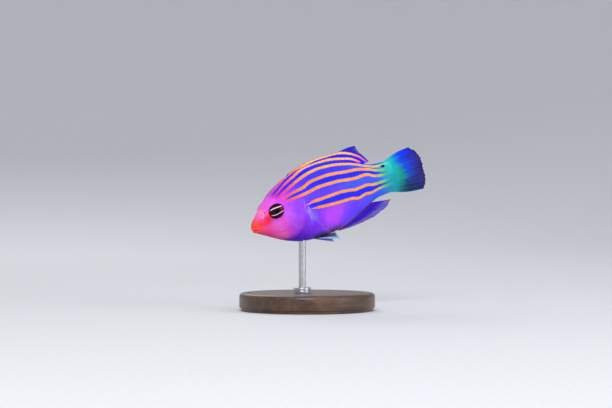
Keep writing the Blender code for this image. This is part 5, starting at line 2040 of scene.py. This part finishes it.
@dataclass
class Wrasse:
    """The whole fish."""

    body: Body = field(default_factory=Body)

    def fins(self) -> list[Fin]:
        """Every fin with its own finish."""
        body = self.body
        clear = FinFinish(
            "clear_fin_skin", roughness=0.40, coat=0.02, specular=0.05, ray_colour=(0.56, 0.38, 0.97),
            ray_strength=0.6, clear=0.035, ray_cover=0.17, tip_cover=0.45, edge_colour=(0.36, 0.22, 0.97),
        )
        shared = {"roughness": 0.42, "coat": 0.02, "specular": 0.10}
        dorsal = FinFinish(
            "dorsal_fin_finish", ray_colour=(0.02, 0.02, 0.80), ray_strength=0.35, clear=0.48, ray_cover=0.80,
            lined=True, edge_colour=(0.06, 0.012, 0.50), **shared,
        )
        anal = FinFinish(
            "anal_fin_finish", ray_colour=(0.10, 0.015, 0.55), ray_strength=0.75, clear=0.55, ray_cover=0.80,
            edge_colour=(0.10, 0.02, 0.70), **shared,
        )
        tail = FinFinish(
            "tail_fin_finish", ray_colour=(0.016, 0.030, 0.62), ray_strength=0.50, clear=0.88, ray_cover=0.96,
            edge_colour=(0.030, 0.003, 0.060), **shared,
        )
        pelvic = FinFinish(
            "pelvic_fin_finish", ray_colour=(0.30, 0.55, 0.95), ray_strength=0.25, clear=0.60, ray_cover=0.90,
            edge_colour=(0.20, 0.20, 0.60), **shared,
        )
        found: list[Fin] = [
            DorsalFin(
                body, "dorsal_fin_skin", ("dorsal_fin",), "dorsal_membrane", dorsal,
                rays=20, spines_end=0.45, rows=52, notch=0.02,
            ),
            AnalFin(
                body, "anal_fin_skin", ("anal_fin",), "anal_membrane", anal,
                rays=12, columns_per_ray=16, rows=52, notch=0.025,
            ),
            TailFin(
                body, "tail_fin_skin", ("tail_fin",), "tail_membrane", tail,
                rays=14, columns_per_ray=20, rows=64, notch=0.014, sunk=0.05, ray_half=(0.20, 0.08),
            ),
        ]
        for side, drop, pale in ((Side.LEFT, 0.0, PelvicFin.pale), (Side.RIGHT, 0.020, (0.50, 0.10, 0.92))):
            name, nodes = f"pectoral_fin_skin_{side.word}", (f"pectoral_fin_{side.word}",)
            found.append(PectoralFin(
                body, name, nodes, "clear_membrane", clear,
                rays=13, notch=0.008, side=side, ray_half=(0.15, 0.06), membrane_half=(0.06, 0.035),
            ))
            name, nodes = f"pelvic_fin_skin_{side.word}", (f"pelvic_fin_{side.word}",)
            found.append(PelvicFin(
                body, name, nodes, "pelvic_membrane", pelvic,
                rays=6, notch=0.10, side=side, drop=drop, pale=pale, wave_mm=0.05,
            ))
        return found

    def build(self) -> None:
        """Build skin, scales, fins and eyes, in that order."""
        eyes = tuple(EyeSeat(self.body, side) for side in Side)
        markings = Markings(self.body)
        scales = Scales(self.body, markings)
        Skin(self.body, SkinRelief(), markings, eyes).build(scales.front)
        for side in Side:
            scales.build(side)
        for fin in self.fins():
            fin.build()
        for eye in eyes:
            Eyeball(eye).build()


def main() -> None:
    """Build the studio, the fish and its stand."""
    logging.basicConfig(level=logging.INFO, format="%(name)s %(message)s")
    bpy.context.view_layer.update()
    wrasse = Wrasse()
    Studio().build(wrasse.body.snout)
    wrasse.build()
    Stand().build()


if __name__ == "__main__":
    main()
